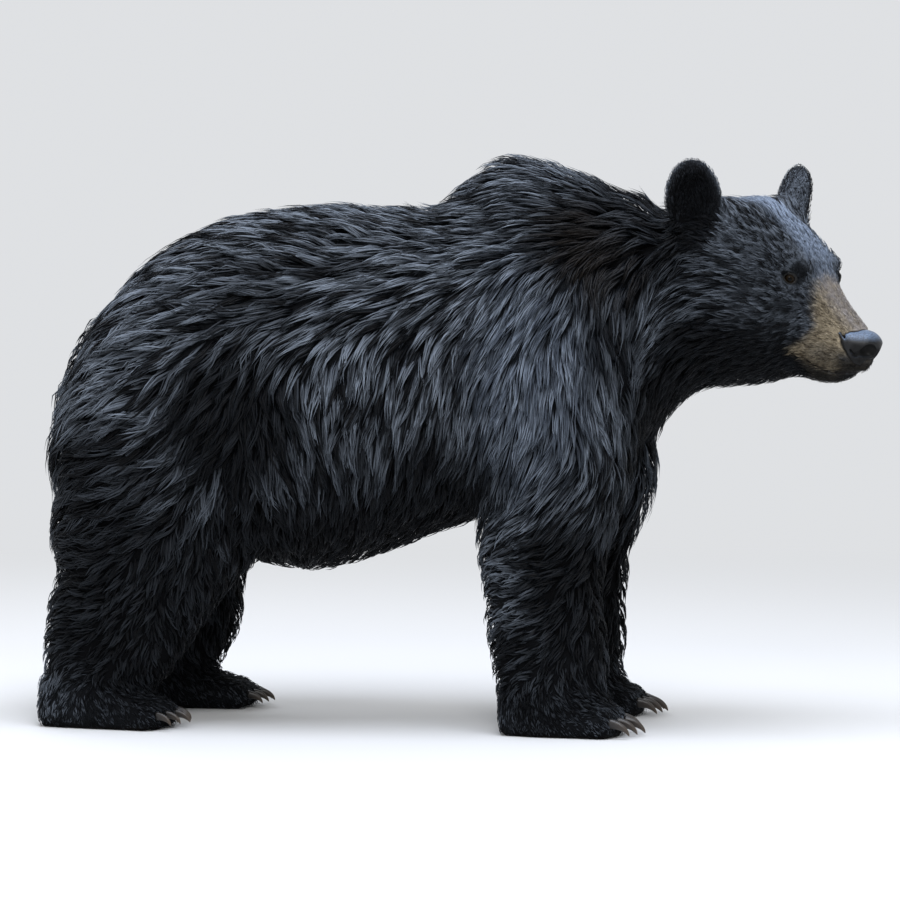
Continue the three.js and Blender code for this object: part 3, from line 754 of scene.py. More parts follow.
# ---------- meshes ----------
def lattice(*stretches):
    """Places along one axis: each stretch is its start, end and spacing."""
    places = [np.array([stretches[0][0]], float)]
    for start, end, spacing in stretches:
        count = max(round((end - start) / spacing), 1)
        places.append(np.linspace(start, end, count + 1)[1:])
    return np.concatenate(places)


def wrapped(form, axes):
    """The closed surface of a form as quads, by surface nets: each lattice cell that the
    surface crosses gives one point, the mean of the crossings on its edges, and each
    crossed lattice edge gives its four neighbour cells one quad."""
    count = [len(a) for a in axes]
    value = np.empty(count, np.float32)
    for i, x in enumerate(axes[0]):
        y, z = np.meshgrid(axes[1], axes[2], indexing="ij")
        sheet = np.stack([np.full(y.size, x), y.ravel(), z.ravel()], 1)
        value[i] = form(sheet).reshape(y.shape)
    cells = np.array(count) - 1
    total = np.zeros((*cells, 3))
    hits = np.zeros(cells)
    crossings = []
    for axis in range(3):
        first = [slice(None)] * 3
        second = [slice(None)] * 3
        first[axis], second[axis] = slice(0, -1), slice(1, None)
        a, b = value[tuple(first)], value[tuple(second)]
        crossed = np.argwhere((a < 0) != (b < 0))
        at = tuple(crossed.T)
        t = a[at] / (a[at] - b[at])
        hit = np.stack([axes[k][crossed[:, k]] for k in range(3)], 1)
        hit[:, axis] += t * (axes[axis][crossed[:, axis] + 1] - axes[axis][crossed[:, axis]])
        u, v = (axis + 1) % 3, (axis + 2) % 3
        ring = []
        for du, dv in ((-1, -1), (0, -1), (0, 0), (-1, 0)):
            cell = crossed.copy()
            cell[:, u] += du
            cell[:, v] += dv
            ring.append(np.clip(cell, 0, cells - 1))
            np.add.at(total, tuple(ring[-1].T), hit)
            np.add.at(hits, tuple(ring[-1].T), 1)
        crossings.append((ring, a[at] < 0))
    used = hits > 0
    number = np.full(cells, -1)
    number[used] = np.arange(used.sum())
    points = total[used] / hits[used][:, None]
    faces = []
    for ring, inside_first in crossings:
        quad = np.stack([number[tuple(cell.T)] for cell in ring], 1)
        quad[~inside_first] = quad[~inside_first][:, ::-1]
        faces.append(quad)
    return points, np.concatenate(faces)


def grid_faces(rows, columns, round_rows=False, round_columns=True):
    """Triangles of a grid of points, row after row; a round way joins its end to its
    start."""
    i = np.arange(rows if round_rows else rows - 1)
    j = np.arange(columns if round_columns else columns - 1)
    i, j = np.meshgrid(i, j, indexing="ij")
    i, j = i.ravel(), j.ravel()
    below, beside = (i + 1) % rows, (j + 1) % columns
    a, b = i * columns + j, i * columns + beside
    c, d = below * columns + beside, below * columns + j
    return np.concatenate([np.stack([a, b, c], 1), np.stack([a, c, d], 1)])


def around(count):
    """Even turns round a circle, from 0, in radians."""
    return np.linspace(0, 2 * np.pi, count, endpoint=False)


def capped(rows, columns):
    """Triangles of a grid that is round in its columns, with one point before its first
    row and one after its last, which close its ends."""
    body = grid_faces(rows, columns)
    j = np.arange(columns)
    beside = (j + 1) % columns
    start, end = rows * columns, rows * columns + 1
    last = (rows - 1) * columns
    first_cap = np.stack([np.full(columns, start), beside, j], 1)
    last_cap = np.stack([np.full(columns, end), last + j, last + beside], 1)
    return np.concatenate([body, first_cap, last_cap])


def put(name, points, faces, material, nodes=(), values=None, maps=None):
    """Makes a piece from points in mm and faces with one number of corners. values are
    numbers for each point, maps are two numbers for each point; the piece rides on the
    body, takes the material given and stands for the nodes, which it hides."""
    mesh = bpy.data.meshes.new(name)
    mesh.vertices.add(len(points))
    mesh.vertices.foreach_set("co", (points * MM).astype(np.float32).ravel())
    corners = faces.shape[1]
    mesh.loops.add(faces.size)
    mesh.loops.foreach_set("vertex_index", faces.astype(np.int32).ravel())
    mesh.polygons.add(len(faces))
    mesh.polygons.foreach_set("loop_start", np.arange(0, faces.size, corners, dtype=np.int32))
    mesh.polygons.foreach_set("use_smooth", np.ones(len(faces), bool))
    for key, numbers in (values or {}).items():
        layer = mesh.attributes.new(key, "FLOAT", "POINT")
        layer.data.foreach_set("value", np.asarray(numbers, np.float32))
    for key, pairs in (maps or {}).items():
        layer = mesh.uv_layers.new(name=key)
        layer.data.foreach_set("uv", pairs[faces.ravel()].astype(np.float32).ravel())
    mesh.update(calc_edges=True)
    mesh.materials.append(material)
    piece = bpy.data.objects.new(name, mesh)
    bpy.context.scene.collection.objects.link(piece)
    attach(piece, "root")
    if nodes:
        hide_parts(*nodes)
    return piece


# ---------- markings and painted light and shade, the same on skin and coat ---
def patch_at(points, middle, radii, outer, inner):
    """A soft oval patch: 1 within inner times its radii, 0 beyond outer times them."""
    ratio = (points - np.array(middle)) / np.array(radii)
    return smooth(np.linalg.norm(ratio, axis=1), outer, inner)


def markings_and_painted_light(points, rise):
    """How tan, grey, brown, shaded, sheen-lit and lip-black the bear is at points, each
    from 0 to 1: real markings and painted light and shade together. Tan begins on the
    muzzle at a border that depends on the level, and ends at the dark chin and round the
    nose; grey lies in blotches along its bridge; brown is a soft patch behind the ears;
    shade is painted shade, blacker on the parts of the coat that lie in shadow, where it
    faces down, in the hollows over and below the eyes and under the ears, and in the ears'
    bowls, which are partly dark of their own; painted sheen is a painted highlight along
    the up-facing crown and a little painted light on the shoulders; black follows the
    lips and soles; short is where the hair is so short that the skin shows its colour.
    rise is how far the surface faces up, from -1 to 1."""
    u, v, w = into(HEAD, points).T
    side_view, folded = points[:, ::2], np.stack([u, np.abs(v), w], 1)
    near_head = points[:, 0] > FACE_FROM
    on_head = near_head * smooth(u, 10, 26)
    border = along(TAN_BORDER, w) + 0.12 * np.abs(v)
    tan = smooth(u - border, -TAN_FADE, TAN_FADE) * on_head
    tan *= 1 - 0.85 * smooth(mouth_at(u) - w, 0, 4)
    tan *= 1 - 0.85 * smooth(u, 100, 118) * smooth(w, -78, -90)
    bridge = along(BRIDGE, u)
    grey = smooth(w - bridge, -24, -2) * smooth(np.abs(v), 36, 14)
    grey *= 0.6 + 0.4 * swirl(points, 6)
    tan *= 1 - 0.5 * smooth(w, -68, -98) * smooth(u, 40, 85)
    flank = points.copy()
    flank[:, 1] = -np.abs(flank[:, 1])
    brown = patch_at(flank, BROWN_PATCH["at"], BROWN_PATCH["size"], 1.15, 0.35)
    # Painted shade: coat and skin are darker where they face down.
    shade = smooth(-rise, -0.25, 0.5)
    # Painted shade on the parts of the coat that lie in shadow, from the belly and legs to the
    # throat.
    for middle, radii, strength in PAINTED_SHADE_PARTS.values():
        patch = strength * patch_at(side_view, middle, radii, 1.25, 0.55)
        shade = np.maximum(shade, patch)
    # Painted shade in the face's hollows and under the ears.
    for middle, radii, strength in FACE_SHADES:
        patch = strength * patch_at(folded, middle, radii, 1.25, 0.6) * near_head
        shade = np.maximum(shade, patch)
    # The ears' bowls are blackened: partly their own dark inside, partly painted shade in the
    # hollow.
    bowl = (EAR_BOWL["ahead"], 0, EAR_RISE - EAR_BOWL["down"])
    for ear in EARS.values():
        shade = np.maximum(shade, patch_at(into(ear, points), bowl, (30, 34, 56), 1.32, 1.12))
    # Painted highlight: paler, bluer tips where the crown faces up into the light.
    painted_sheen = smooth(rise, 0.15, 0.65) * smooth(u, -150, -90) * smooth(np.abs(v), 50, 24)
    painted_shoulder_light = PAINTED_SHOULDER_LIGHT["strength"] * patch_at(side_view, PAINTED_SHOULDER_LIGHT["at"], PAINTED_SHOULDER_LIGHT["size"], 1.2, 0.4)
    gap = np.abs(w - mouth_at(u))
    lip = smooth(gap, 4.5, 1.5) * smooth(u, 40, 60) * near_head
    lip = np.maximum(lip, smooth(points[:, 2], 3.0, 1.0))
    pad = smooth(nose_reach(into(HEAD, points[near_head])), 2.5, 0.5)
    lip[near_head] = np.maximum(lip[near_head], pad)
    return dict(
        tan=tan, grey=grey * on_head, brown=brown, shade=shade,
        painted_sheen=np.maximum(painted_sheen * near_head, painted_shoulder_light), lip=lip,
        short=smooth(coat_depth(points), 13, 5) * near_head,
    )


# ---------- the coat ----------
def lie_at(points, on_ear=False):
    """The way the hair points before it is laid on the skin. Each guide of the lie of the
    coat has a say that falls with the fourth power of its distance in the side view; on
    the head the guides of its own frame take over, round an eye the hair parts before it,
    and on an ear it fans out from below the ear's foot."""

    def mean(rows, x, z, softness):
        table = np.array(rows, float)
        turn = np.radians(table[:, 2])
        apart = (x[:, None] - table[:, 0]) ** 2 + (z[:, None] - table[:, 1]) ** 2
        say = 1 / (apart + softness**2) ** 2
        say /= say.sum(1, keepdims=True)
        return -(say @ np.cos(turn)), -(say @ np.sin(turn))

    x, z = points[:, 0], points[:, 2]
    back, down = mean(LIE, x, z, LIE_SOFTNESS)
    way = np.stack([back, np.zeros_like(back), down], 1)
    local = into(HEAD, points)
    u, v, w = local.T
    back, down = mean(FACE_LIE, u, w, FACE_LIE_SOFTNESS)
    outward = 0.16 * np.clip(v / 60, -1, 1)
    on_face = unit(np.stack([back, outward, down], 1))
    for middle, axes in EYES.values():
        from_eye = local - middle
        aside = from_eye - np.outer(from_eye @ axes[0], axes[0])
        near = smooth(np.linalg.norm(from_eye, axis=1), 38, 16)
        towards = np.minimum((on_face * unit(aside)).sum(1), 0) * near
        on_face = on_face - unit(aside) * (1.3 * towards)[:, None]
        on_face[:, 2] += 0.45 * towards
    on_face = on_face @ HEAD[1]
    share = smooth(u, HEAD_HAIR_FROM, -115) * (x > HAIRY_HEAD_FROM) * smooth(z, 430, 480)
    way = unit(way) * (1 - share)[:, None] + unit(on_face) * share[:, None]
    if on_ear:
        from_foot = [points - (at - axes[2] * EAR_FAN) for at, axes in EARS.values()]
        nearest = np.argmin([np.linalg.norm(f, axis=1) for f in from_foot], axis=0)
        way = unit(np.stack(from_foot)[nearest, np.arange(len(points))])
    return unit(way)


def swirl(points, scale):
    """A slow, even wandering between -1 and 1, as a sum of a few waves."""
    x, y, z = (points / scale).T
    wave = np.sin(2.1 * x + 1.3 * z + 0.7 * y) + np.sin(-1.1 * x + 2.3 * z + 1.9)
    wave += np.sin(1.7 * y + 2.9 * z - 0.8 * x + 4.0)
    return wave / 3


# How the coat is built in each style: spacing of the clumps, locks in one, how far they are
# spread across and along, lock width, segments, wave height and length, scatter of direction
# in degrees, how far tips draw together, length as a multiple of the coat's depth, and how
# far hair that points outwards stands up.
STYLE_COLUMNS = (
    "spacing", "locks", "across", "ahead", "width", "segments", "wave", "wavelength",
    "scatter", "pull", "reach", "stand",
)
STYLE_ROWS = {
    "trunk": (15.5, 11, 8.5, 12, 3.6, 3, 1.2, 60, 7, 0.72, 2.7, 2.0),
    "shoulder": (11.5, 8, 6, 11, 3.0, 3, 0.8, 60, 6, 0.5, 2.5, 1.5),
    "ruff": (19, 16, 10.5, 15, 3.7, 3, 1.6, 60, 6, 0.88, 2.9, 2.5),
    "haunch": (16.0, 10, 8.5, 12, 4.0, 4, 3.8, 66, 9, 0.8, 3.2, 0.8),
    "shank": (13.5, 8, 7, 10, 3.6, 4, 2.4, 48, 9, 0.7, 2.6, 0.5),
    "cheek": (8.8, 7, 4.4, 6.5, 2.1, 3, 1.2, 34, 5, 0.68, 2.9, 2.0),
    "brow": (7.9, 8, 4.0, 6, 1.8, 3, 1.3, 24, 6, 0.68, 3.3, 1.0),
    "orbit": (4.4, 6, 2.5, 3.6, 1.25, 3, 0.4, 16, 6, 0.5, 3.1, 0.5),
    "muzzle": (3.4, 5, 2.1, 3, 0.85, 2, 0.0, 20, 8, 0.35, 2.7, 0.6),
    "ear": (4.4, 6, 2.8, 4, 1.25, 2, 0.0, 20, 6, 0.35, 2.9, -1.2),
    "paw": (7.6, 6, 4.2, 5, 2.1, 2, 0.0, 20, 12, 0.5, 2.5, 1.0),
}
STYLES = {name: dict(zip(STYLE_COLUMNS, row)) for name, row in STYLE_ROWS.items()}
# The ear's coat: its depth, how near the ear's skin it starts, and how far above its foot.
EAR_COAT, ON_EAR, ABOVE_EAR_FOOT = 3.0, 6, 14
HEAD_HAIR_FROM = -165  # where the head's own hair begins at the nape, in its frame
EAR_FAN = 90  # how far below an ear's foot the middle of its fan of hair lies
FULL_HEIGHT, UNDERFUR_HEIGHT = (0.88, 1.08), (0.35, 0.8)  # shares of the coat's depth
UNDERFUR_SHARE = 0.3
WANDER = dict(degrees=9, size=45)  # how far the lie of the coat wanders, and over how much
SHORTER, SHORTER_ON_EAR = 0.3, 0.7  # share of its length that hair lacks as it stands up
# From the least to the most of its clump's length, height and width that a lock has.
LOCK_LENGTHS, LOCK_HEIGHTS, LOCK_WIDTHS = (0.72, 1.12), (0.84, 1.08), (0.45, 1.15)
TRIES, NEAREST = 6, 0.8  # random points for each root; least share of spacing between two
BELOW_END = 0.999999  # keeps a random place inside the last face
PATCH = 0.003  # size of a lock's patch on the bake's map


# Where the stretches of coat meet: along the body, by height, and on the head.
RUMP_TO, SHOULDER_FROM, FORELEG_FROM, NECK_FROM = -250, 20, -40, 215
HINDLEG_TO, FORELEG_TO, NECK_ABOVE = KNEE_HEIGHT + 70, ELBOW_HEIGHT + 20, 400
PAW_TO, HEAD_ABOVE, CHEEK_TO = FOOT_HEIGHT - 20, 440, 8
ORBIT_RADIUS, MUZZLE_FROM, MUZZLE_LEAN = 33, 34, 0.1
# Middle lines that the coat's map goes round: x of the feet and their y, heights of the rest.
ROUND_FORE, ROUND_HIND, ROUND_ASIDE, ROUND_HEAD, ROUND_TRUNK = 150, -500, 138, -55, 520
LOWEST_HAIR = 0.4  # no hair is lower than this, so that none goes into the floor


def zones(points):
    """The stretch of coat that each point of the skin belongs to."""
    x, y, z = points.T
    u, v, w = into(HEAD, points).T
    side = np.where(y < 0, "right", "left")
    zone = np.where(x < SHOULDER_FROM, "flank", "shoulder")
    zone = np.where(x < RUMP_TO, "rump", zone)
    zone = np.where((x < RUMP_TO) & (z < HINDLEG_TO), "hindleg", zone)
    zone = np.where((x > FORELEG_FROM) & (z < FORELEG_TO), "foreleg", zone)
    zone = np.where((x > NECK_FROM) & (z > NECK_ABOVE), "neck", zone)
    zone = np.where(z < PAW_TO, "paw", zone)
    zone = np.char.add(np.char.add(zone, "_"), side)
    on_head = (u > HEAD_HAIR_FROM) & (x > HAIRY_HEAD_FROM) & (z > HEAD_ABOVE)
    zone = np.where(on_head, "cheeks", zone)
    zone = np.where(on_head & ((w > CHEEK_TO) | (u > 0)), "brow", zone)
    for eye in EYES:
        _, apart = beyond_lids(eye, into(HEAD, points))
        zone = np.where(on_head & (apart < ORBIT_RADIUS), "orbits", zone)
    zone = np.where(on_head & (u > MUZZLE_FROM - MUZZLE_LEAN * w), "muzzle", zone)
    for name, ear in SIDES.items():
        shell, bowl = EAR_FORMS[ear]
        high = into(EARS[ear], points)[:, 2] > ABOVE_EAR_FOOT
        near = (np.abs(shell(points)) < ON_EAR) | (np.abs(bowl(points)) < ON_EAR)
        zone = np.where(near & high, f"ear_{name}", zone)
    return zone


def chart_of(piece, points):
    """Where roots lie on an unwrap of the skin: along and round the middle line of the
    trunk, leg, head or ear that they grow on."""
    if piece.startswith("ear"):
        place = EARS[SIDES[piece.removeprefix("ear_")]]
        local = into(place, points) - np.array([0, 0, EAR_RISE])
        return np.stack([local[:, 2], np.arctan2(local[:, 0], local[:, 1])], 1)
    if piece in HEAD_PIECES:
        local = into(HEAD, points) - np.array([0, 0, ROUND_HEAD])
        return np.stack([local[:, 0], np.arctan2(local[:, 1], local[:, 2])], 1)
    if piece.startswith(("hindleg", "foreleg", "paw")):
        fore = points[:, 0] > (ROUND_FORE + ROUND_HIND) / 2
        middle = np.stack(
            [np.where(fore, ROUND_FORE, ROUND_HIND), np.sign(points[:, 1]) * ROUND_ASIDE], 1
        )
        apart = points[:, :2] - middle
        turn = np.arctan2(apart[:, 1], apart[:, 0])
        if piece.startswith("paw"):
            return np.stack([turn + 7 * fore, points[:, 2] + 0.4 * apart[:, 0]], 1)
        return np.stack([turn, points[:, 2]], 1)
    turn = np.arctan2(points[:, 1], points[:, 2] - ROUND_TRUNK)
    return np.stack([points[:, 0], turn], 1)


def spread_roots(points, faces, spacing, rng):
    """Roots spread evenly over faces: of many random points on them, each is kept that
    is no nearer than four fifths of the spacing to any kept before it."""
    a, b, c = (points[faces[:, k]] for k in range(3))
    ends = np.cumsum(np.linalg.norm(np.cross(b - a, c - a), axis=1) / 2)
    count = int(TRIES * ends[-1] / spacing**2)
    chosen = np.searchsorted(ends, rng.random(count) * ends[-1] * BELOW_END)
    s, t = np.sqrt(rng.random(count)), rng.random(count)
    weights = np.stack([1 - s, s * (1 - t), s * t], 1)
    tries = (points[faces[chosen]] * weights[:, :, None]).sum(1)
    tree = KDTree(count)
    for number, at in enumerate(tries.tolist()):
        tree.insert(at, number)
    tree.balance()
    free = np.ones(count, bool)
    kept = []
    for number, at in enumerate(tries.tolist()):
        if free[number]:
            kept.append(number)
            free[[near[1] for near in tree.find_range(at, NEAREST * spacing)]] = False
    return tries[kept]


def lock_places(segments):
    """Places along a lock, from 0 at its root to 1 at its tip."""
    return np.linspace(0, 1, segments + 1) ** 1.15


def guides(roots, length, style, settings, rng):
    """One guide line from each root: it steps along the lie of the coat, laid on the skin
    and turned by a wandering and a scatter, and rises from the skin to the tips of the
    coat, s of the way along it to 1 - (1 - s)^2.1 of their height; three tenths of them
    are lower, as underfur. Where the hair points out of the skin it is shorter and stands
    out further."""
    start, normal = settled(skin_form, roots)
    on_ear = style is STYLES["ear"]
    heading = lie_at(start, on_ear)
    standing = np.clip((heading * normal).sum(1), 0, 1)
    turn = np.radians(style["scatter"]) * rng.normal(size=len(start))
    turn += np.radians(WANDER["degrees"]) * swirl(start, WANDER["size"])
    share = rng.uniform(*FULL_HEIGHT, len(start))
    if not on_ear:
        under = rng.random(len(start)) < UNDERFUR_SHARE
        share = np.where(under, rng.uniform(*UNDERFUR_HEIGHT, len(start)), share)
    length = length * (1 - (SHORTER_ON_EAR if on_ear else SHORTER) * standing)
    places = lock_places(style["segments"])
    path, normals = [start], [normal]
    for before, done in zip(places, places[1:]):
        here, up = path[-1], normals[-1]
        way = lie_at(here, on_ear)
        flat = unit(way - up * (way * up).sum(1, keepdims=True))
        aside = np.cross(up, flat)
        flat = flat * np.cos(turn)[:, None] + aside * np.sin(turn)[:, None]
        ahead = here + flat * (length * (done - before))[:, None]
        depth = EAR_COAT if on_ear else hair_depth(ahead) * settings.depth
        level = (depth * share + style["stand"] * standing) * (1 - (1 - done) ** 2.1)
        ahead, up = settled(skin_form, ahead, level, passes=1, reach=12)
        path.append(ahead)
        normals.append(up)
    return np.stack(path, 1), np.stack(normals, 1)


def lock_faces(segments, count):
    """Triangles of locks: a point at the root, rings of three, and a point at the tip."""
    one = [(0, 1 + (j + 1) % 3, 1 + j) for j in range(3)]
    for k in range(segments - 2):
        for j in range(3):
            a, b = 1 + 3 * k + j, 1 + 3 * k + (j + 1) % 3
            one += [(a, b, b + 3), (a, b + 3, a + 3)]
    last, tip = 1 + 3 * (segments - 2), 3 * segments - 2
    one += [(last + j, last + (j + 1) % 3, tip) for j in range(3)]
    offsets = np.arange(count) * (3 * segments - 1)
    return (np.array(one)[None] + offsets[:, None, None]).reshape(-1, 3)


def grow(piece, roots, style, settings, rng):
    """The locks of one stretch of coat. Round each guide line a clump of locks starts
    spread out and draws together towards its tip; a lock is a flat three-sided spindle
    that waves from side to side. Returns each lock's points, the places along a lock, the
    clumps' lengths, how far each lock's root faces up, and the numbers of clumps and of
    locks in one."""
    depth = hair_depth(roots) * settings.depth
    if piece.startswith("ear"):
        depth = np.full(len(roots), EAR_COAT)
    length = depth * style["reach"] * settings.length
    path, normal = guides(roots, length, style, settings, rng)
    clumps, segments, count = len(roots), style["segments"], style["locks"]
    shape = (clumps, count)
    s = lock_places(segments)
    tangent = unit(np.gradient(path, axis=1))
    aside = unit(np.cross(normal, tangent))
    across = rng.uniform(-1, 1, shape) * style["across"]
    ahead = rng.uniform(-1, 1, shape) * style["ahead"]
    fan = 1 - style["pull"] * s**1.4
    own_length = rng.uniform(*LOCK_LENGTHS, shape)
    phase = rng.random(clumps) * 2 * np.pi
    size = (length / style["wavelength"])[:, None]
    wave = np.sin(phase[:, None] + 2 * np.pi * size * s) - np.sin(phase)[:, None] * (1 - s)
    wave *= style["wave"] * settings.wave * (0.25 + s)
    sideways = across[:, :, None] * fan + wave[:, None, :]
    sideways += rng.normal(size=shape)[:, :, None] * 0.5 * s**2 * style["width"]
    forward = ahead[:, :, None] + (own_length - 1)[:, :, None] * s * length[:, None, None]
    crown = 1 - 0.3 * (across / style["across"]) ** 2
    lift = (crown * rng.uniform(*LOCK_HEIGHTS, shape) - 1)[:, :, None]
    lift = lift * s * depth[:, None, None]
    middle = (
        path[:, None]
        + aside[:, None] * sideways[..., None]
        + tangent[:, None] * forward[..., None]
        + normal[:, None] * lift[..., None]
    )
    roll = rng.normal(size=shape)[:, :, None, None] * 0.35
    wide = aside[:, None] * np.cos(roll) + normal[:, None] * np.sin(roll)
    thick = normal[:, None] * np.cos(roll) - aside[:, None] * np.sin(roll)
    body = np.minimum(0.6 + 2 * s, 1) * (1 - s**3)
    thin = np.clip(np.sqrt(depth / np.median(depth)), 0.5, 1.15)[:, None]
    width = style["width"] * settings.width * thin * rng.uniform(*LOCK_WIDTHS, shape)
    half = (width[:, :, None] * body)[..., None] / 2
    rings = np.stack(
        [middle + wide * half, middle + thick * half * 0.75, middle - wide * half], 3
    )[:, :, 1:segments]
    locks = clumps * count
    root, tip = (middle[:, :, k].reshape(locks, 1, 3) for k in (0, -1))
    points = np.concatenate([root, rings.reshape(locks, -1, 3), tip], 1)
    points[..., 2] = np.maximum(points[..., 2], LOWEST_HAIR)
    rise = np.repeat(normal[:, 0, 2], count)
    return points, s, length, rise, shape


def coat_values(piece, points, s, length, rise, shape, rng):
    """For each point of the locks: how far along its lock it is, the lock's own tone, the
    markings and painted light and shade at its root, its place on the strand map and its patch
    on the bake's map."""
    locks, per_lock = points.shape[:2]
    rings = len(s) - 2
    share = np.concatenate([[0.0], np.repeat(s[1:-1], 3), [1.0]])
    side = np.concatenate([[0.5], np.tile([0.0, 0.5, 1.0], rings), [0.5]])
    root = points[:, 0]
    clump_tone = rng.random(shape[0])[:, None]
    tone = smooth(0.75 * clump_tone + 0.4 * rng.random(shape), 0.25, 0.95).ravel()
    chart = chart_of(piece, root)
    low, high = chart.min(0), chart.max(0)
    place = 0.01 + 0.98 * (chart - low) / (high - low)
    patch = np.stack([side - 0.5, share - 0.5], 1) * PATCH
    stretch = np.stack([np.ones(locks), np.repeat(length, shape[1]) / 10], 1)
    strand = np.stack([side, share], 1)[None] * stretch[:, None]
    strand = strand + rng.random((locks, 1, 2)) * 50
    every = dict(along=np.tile(share, locks), tone=np.repeat(tone, per_lock))
    for key, numbers in markings_and_painted_light(root, rise).items():
        if key not in ("lip", "short"):
            every[key] = np.repeat(numbers, per_lock)
    maps = {
        "OFBake": (place[:, None] + patch[None]).reshape(-1, 2),
        "Strand": strand.reshape(-1, 2),
    }
    return every, maps


# ---------- materials ----------
NEAR_BLACK = linear("#020202")


def node(tree, kind, sockets=None, **settings):
    """Adds a node with its settings. Each of its sockets, given by name or number, gets
    its value, its colour, or the output that feeds it."""
    made = tree.nodes.new(f"ShaderNode{kind}")
    for key, value in settings.items():
        setattr(made, key, value)
    for key, given in (sockets or {}).items():
        if isinstance(given, bpy.types.NodeSocket):
            tree.links.new(given, made.inputs[key])
        elif made.inputs[key].type == "RGBA":
            made.inputs[key].default_value = (*given, 1.0)
        else:
            made.inputs[key].default_value = given
    return made


def mixed(tree, share, first, second):
    """A colour between two others."""
    sockets = {0: share, 6: first, 7: second}
    return node(tree, "Mix", sockets, data_type="RGBA").outputs[2]


def worked(tree, operation, *given, clamp=False):
    """A sum on two or three numbers or outputs."""
    sockets = dict(enumerate(given))
    return node(tree, "Math", sockets, operation=operation, use_clamp=clamp).outputs[0]


def ranged(tree, value, low, high):
    """An output stretched so that low becomes 0 and high becomes 1."""
    return node(tree, "MapRange", {0: value, 1: low, 2: high}).outputs[0]


def attribute(tree, name):
    """The number that each point of a mesh carries under a name."""
    return node(tree, "Attribute", attribute_name=name).outputs["Fac"]


def object_place(tree):
    """Places in the mesh's own frame, in metres."""
    return node(tree, "TexCoord").outputs["Object"]


def noise(tree, place, scale, detail, dimensions="3D"):
    """Noise at a place, or along a number when it has one dimension."""
    where = "W" if dimensions == "1D" else "Vector"
    sockets = {"Scale": scale, "Detail": detail, where: place}
    return node(tree, "TexNoise", sockets, noise_dimensions=dimensions).outputs["Fac"]


def strands(tree, map_name, across, along_it, detail):
    """Noise on a map, drawn out lengthwise: its scale across the map and along it."""
    place = node(tree, "UVMap", uv_map=map_name).outputs[0]
    stretch = node(tree, "Mapping", {"Scale": (across, along_it, 1.0), "Vector": place})
    return noise(tree, stretch.outputs[0], 1.0, detail, "2D")


def new_material(name):
    """An empty material and its node tree."""
    material = bpy.data.materials.get(name) or bpy.data.materials.new(name)
    material.use_nodes = True
    material.node_tree.nodes.clear()
    return material, material.node_tree


def shaded(tree, colour, sockets, height=None, strength=0.0, distance=0.0):
    """Closes a material with its surface shader. The height of its fine relief is drawn
    as bump, of a strength and of a distance in metres."""
    sockets = {"Base Color": colour, **sockets}
    if height is not None:
        relief = {"Strength": strength, "Distance": distance, "Height": height}
        sockets["Normal"] = node(tree, "Bump", relief).outputs[0]
    shader = node(tree, "BsdfPrincipled", sockets)
    node(tree, "OutputMaterial", {"Surface": shader.outputs[0]})


def coat_colour(tree, colours, tip_share, tone):
    """Black hair, paler towards the tip, with painted shade towards the root, and paler in
    the paler locks, whose blue-grey is partly a painted sheen; darkened by painted shade,
    lightened by painted highlight and light, browned and tanned by the markings."""
    lit = mixed(tree, tone, colours.dark_tip_and_shade, colours.pale_tip_and_sheen)
    # Painted sheen and light, painted shade, then the brown cast, over the locks' own tone.
    for marking_and_light, strength, colour in (
        ("painted_sheen", 0.9, colours.painted_sheen), ("shade", 0.95, colours.dark_tip_and_shade),
        ("brown", 0.85, colours.brown),
    ):
        share = worked(tree, "MULTIPLY", attribute(tree, marking_and_light), strength)
        lit = mixed(tree, share, lit, colour)
    black = mixed(tree, tip_share, colours.root, lit)
    muzzle = mixed(tree, tone, colours.tan_dark, colours.tan)
    muzzle = mixed(tree, attribute(tree, "grey"), muzzle, colours.grey)
    return mixed(tree, attribute(tree, "tan"), black, muzzle)


def guard_hair(colours):
    """Bear guard hair: smooth, fairly glossy keratin that lies in flat locks. Its gloss
    is broken into fine lengthwise streaks by the single hairs, and it sheens at a glance."""
    material, tree = new_material("glossy_guard_hair")
    # Single hairs are under 0.1 mm; they are drawn as ridges about 0.5 mm apart.
    streaks = strands(tree, "Strand", 7.0, 0.5, 2.0)
    # Painted shade: each lock darkens towards its root, where the coat shades itself.
    tip_share = worked(tree, "POWER", attribute(tree, "along"), 0.8)
    streak_share = worked(tree, "MULTIPLY_ADD", streaks, 0.9, 0.5)
    tip_share = worked(tree, "MULTIPLY", tip_share, streak_share, clamp=True)
    gloss = {
        "Roughness": worked(tree, "MULTIPLY_ADD", streaks, 0.22, 0.34),
        "Specular IOR Level": 0.08, "Sheen Weight": 0.02, "Sheen Roughness": 0.4,
        "Sheen Tint": linear("#a9bdd8"),
    }
    colour = coat_colour(tree, colours, tip_share, attribute(tree, "tone"))
    shaded(tree, colour, gloss, streaks, 0.5, 0.0004)
    return material


def hide(colours):
    """The skin under the coat: dark, dull and finely grained, and black and satin on the
    lips and soles. On the muzzle it carries the short hair's colours and its nap."""
    material, tree = new_material("short_haired_hide")
    place = object_place(tree)
    # Short hairs about 1.6 mm apart, and a slow unevenness about 25 mm across.
    nap = noise(tree, place, 600.0, 3.0)
    patches = noise(tree, place, 40.0, 2.0)
    tone = worked(tree, "MULTIPLY", nap, patches)
    tone = worked(tree, "MULTIPLY", tone, 2.6, clamp=True)
    shown = worked(tree, "MULTIPLY_ADD", attribute(tree, "short"), 0.38, 0.06)
    lip = attribute(tree, "lip")
    colour = mixed(tree, lip, coat_colour(tree, colours, shown, tone), colours.lip)
    roughness = worked(tree, "MULTIPLY_ADD", lip, -0.4, 0.88)
    gloss = {"Roughness": roughness, "Specular IOR Level": 0.06}
    shaded(tree, colour, gloss, nap, 0.8, 0.0014)
    return material


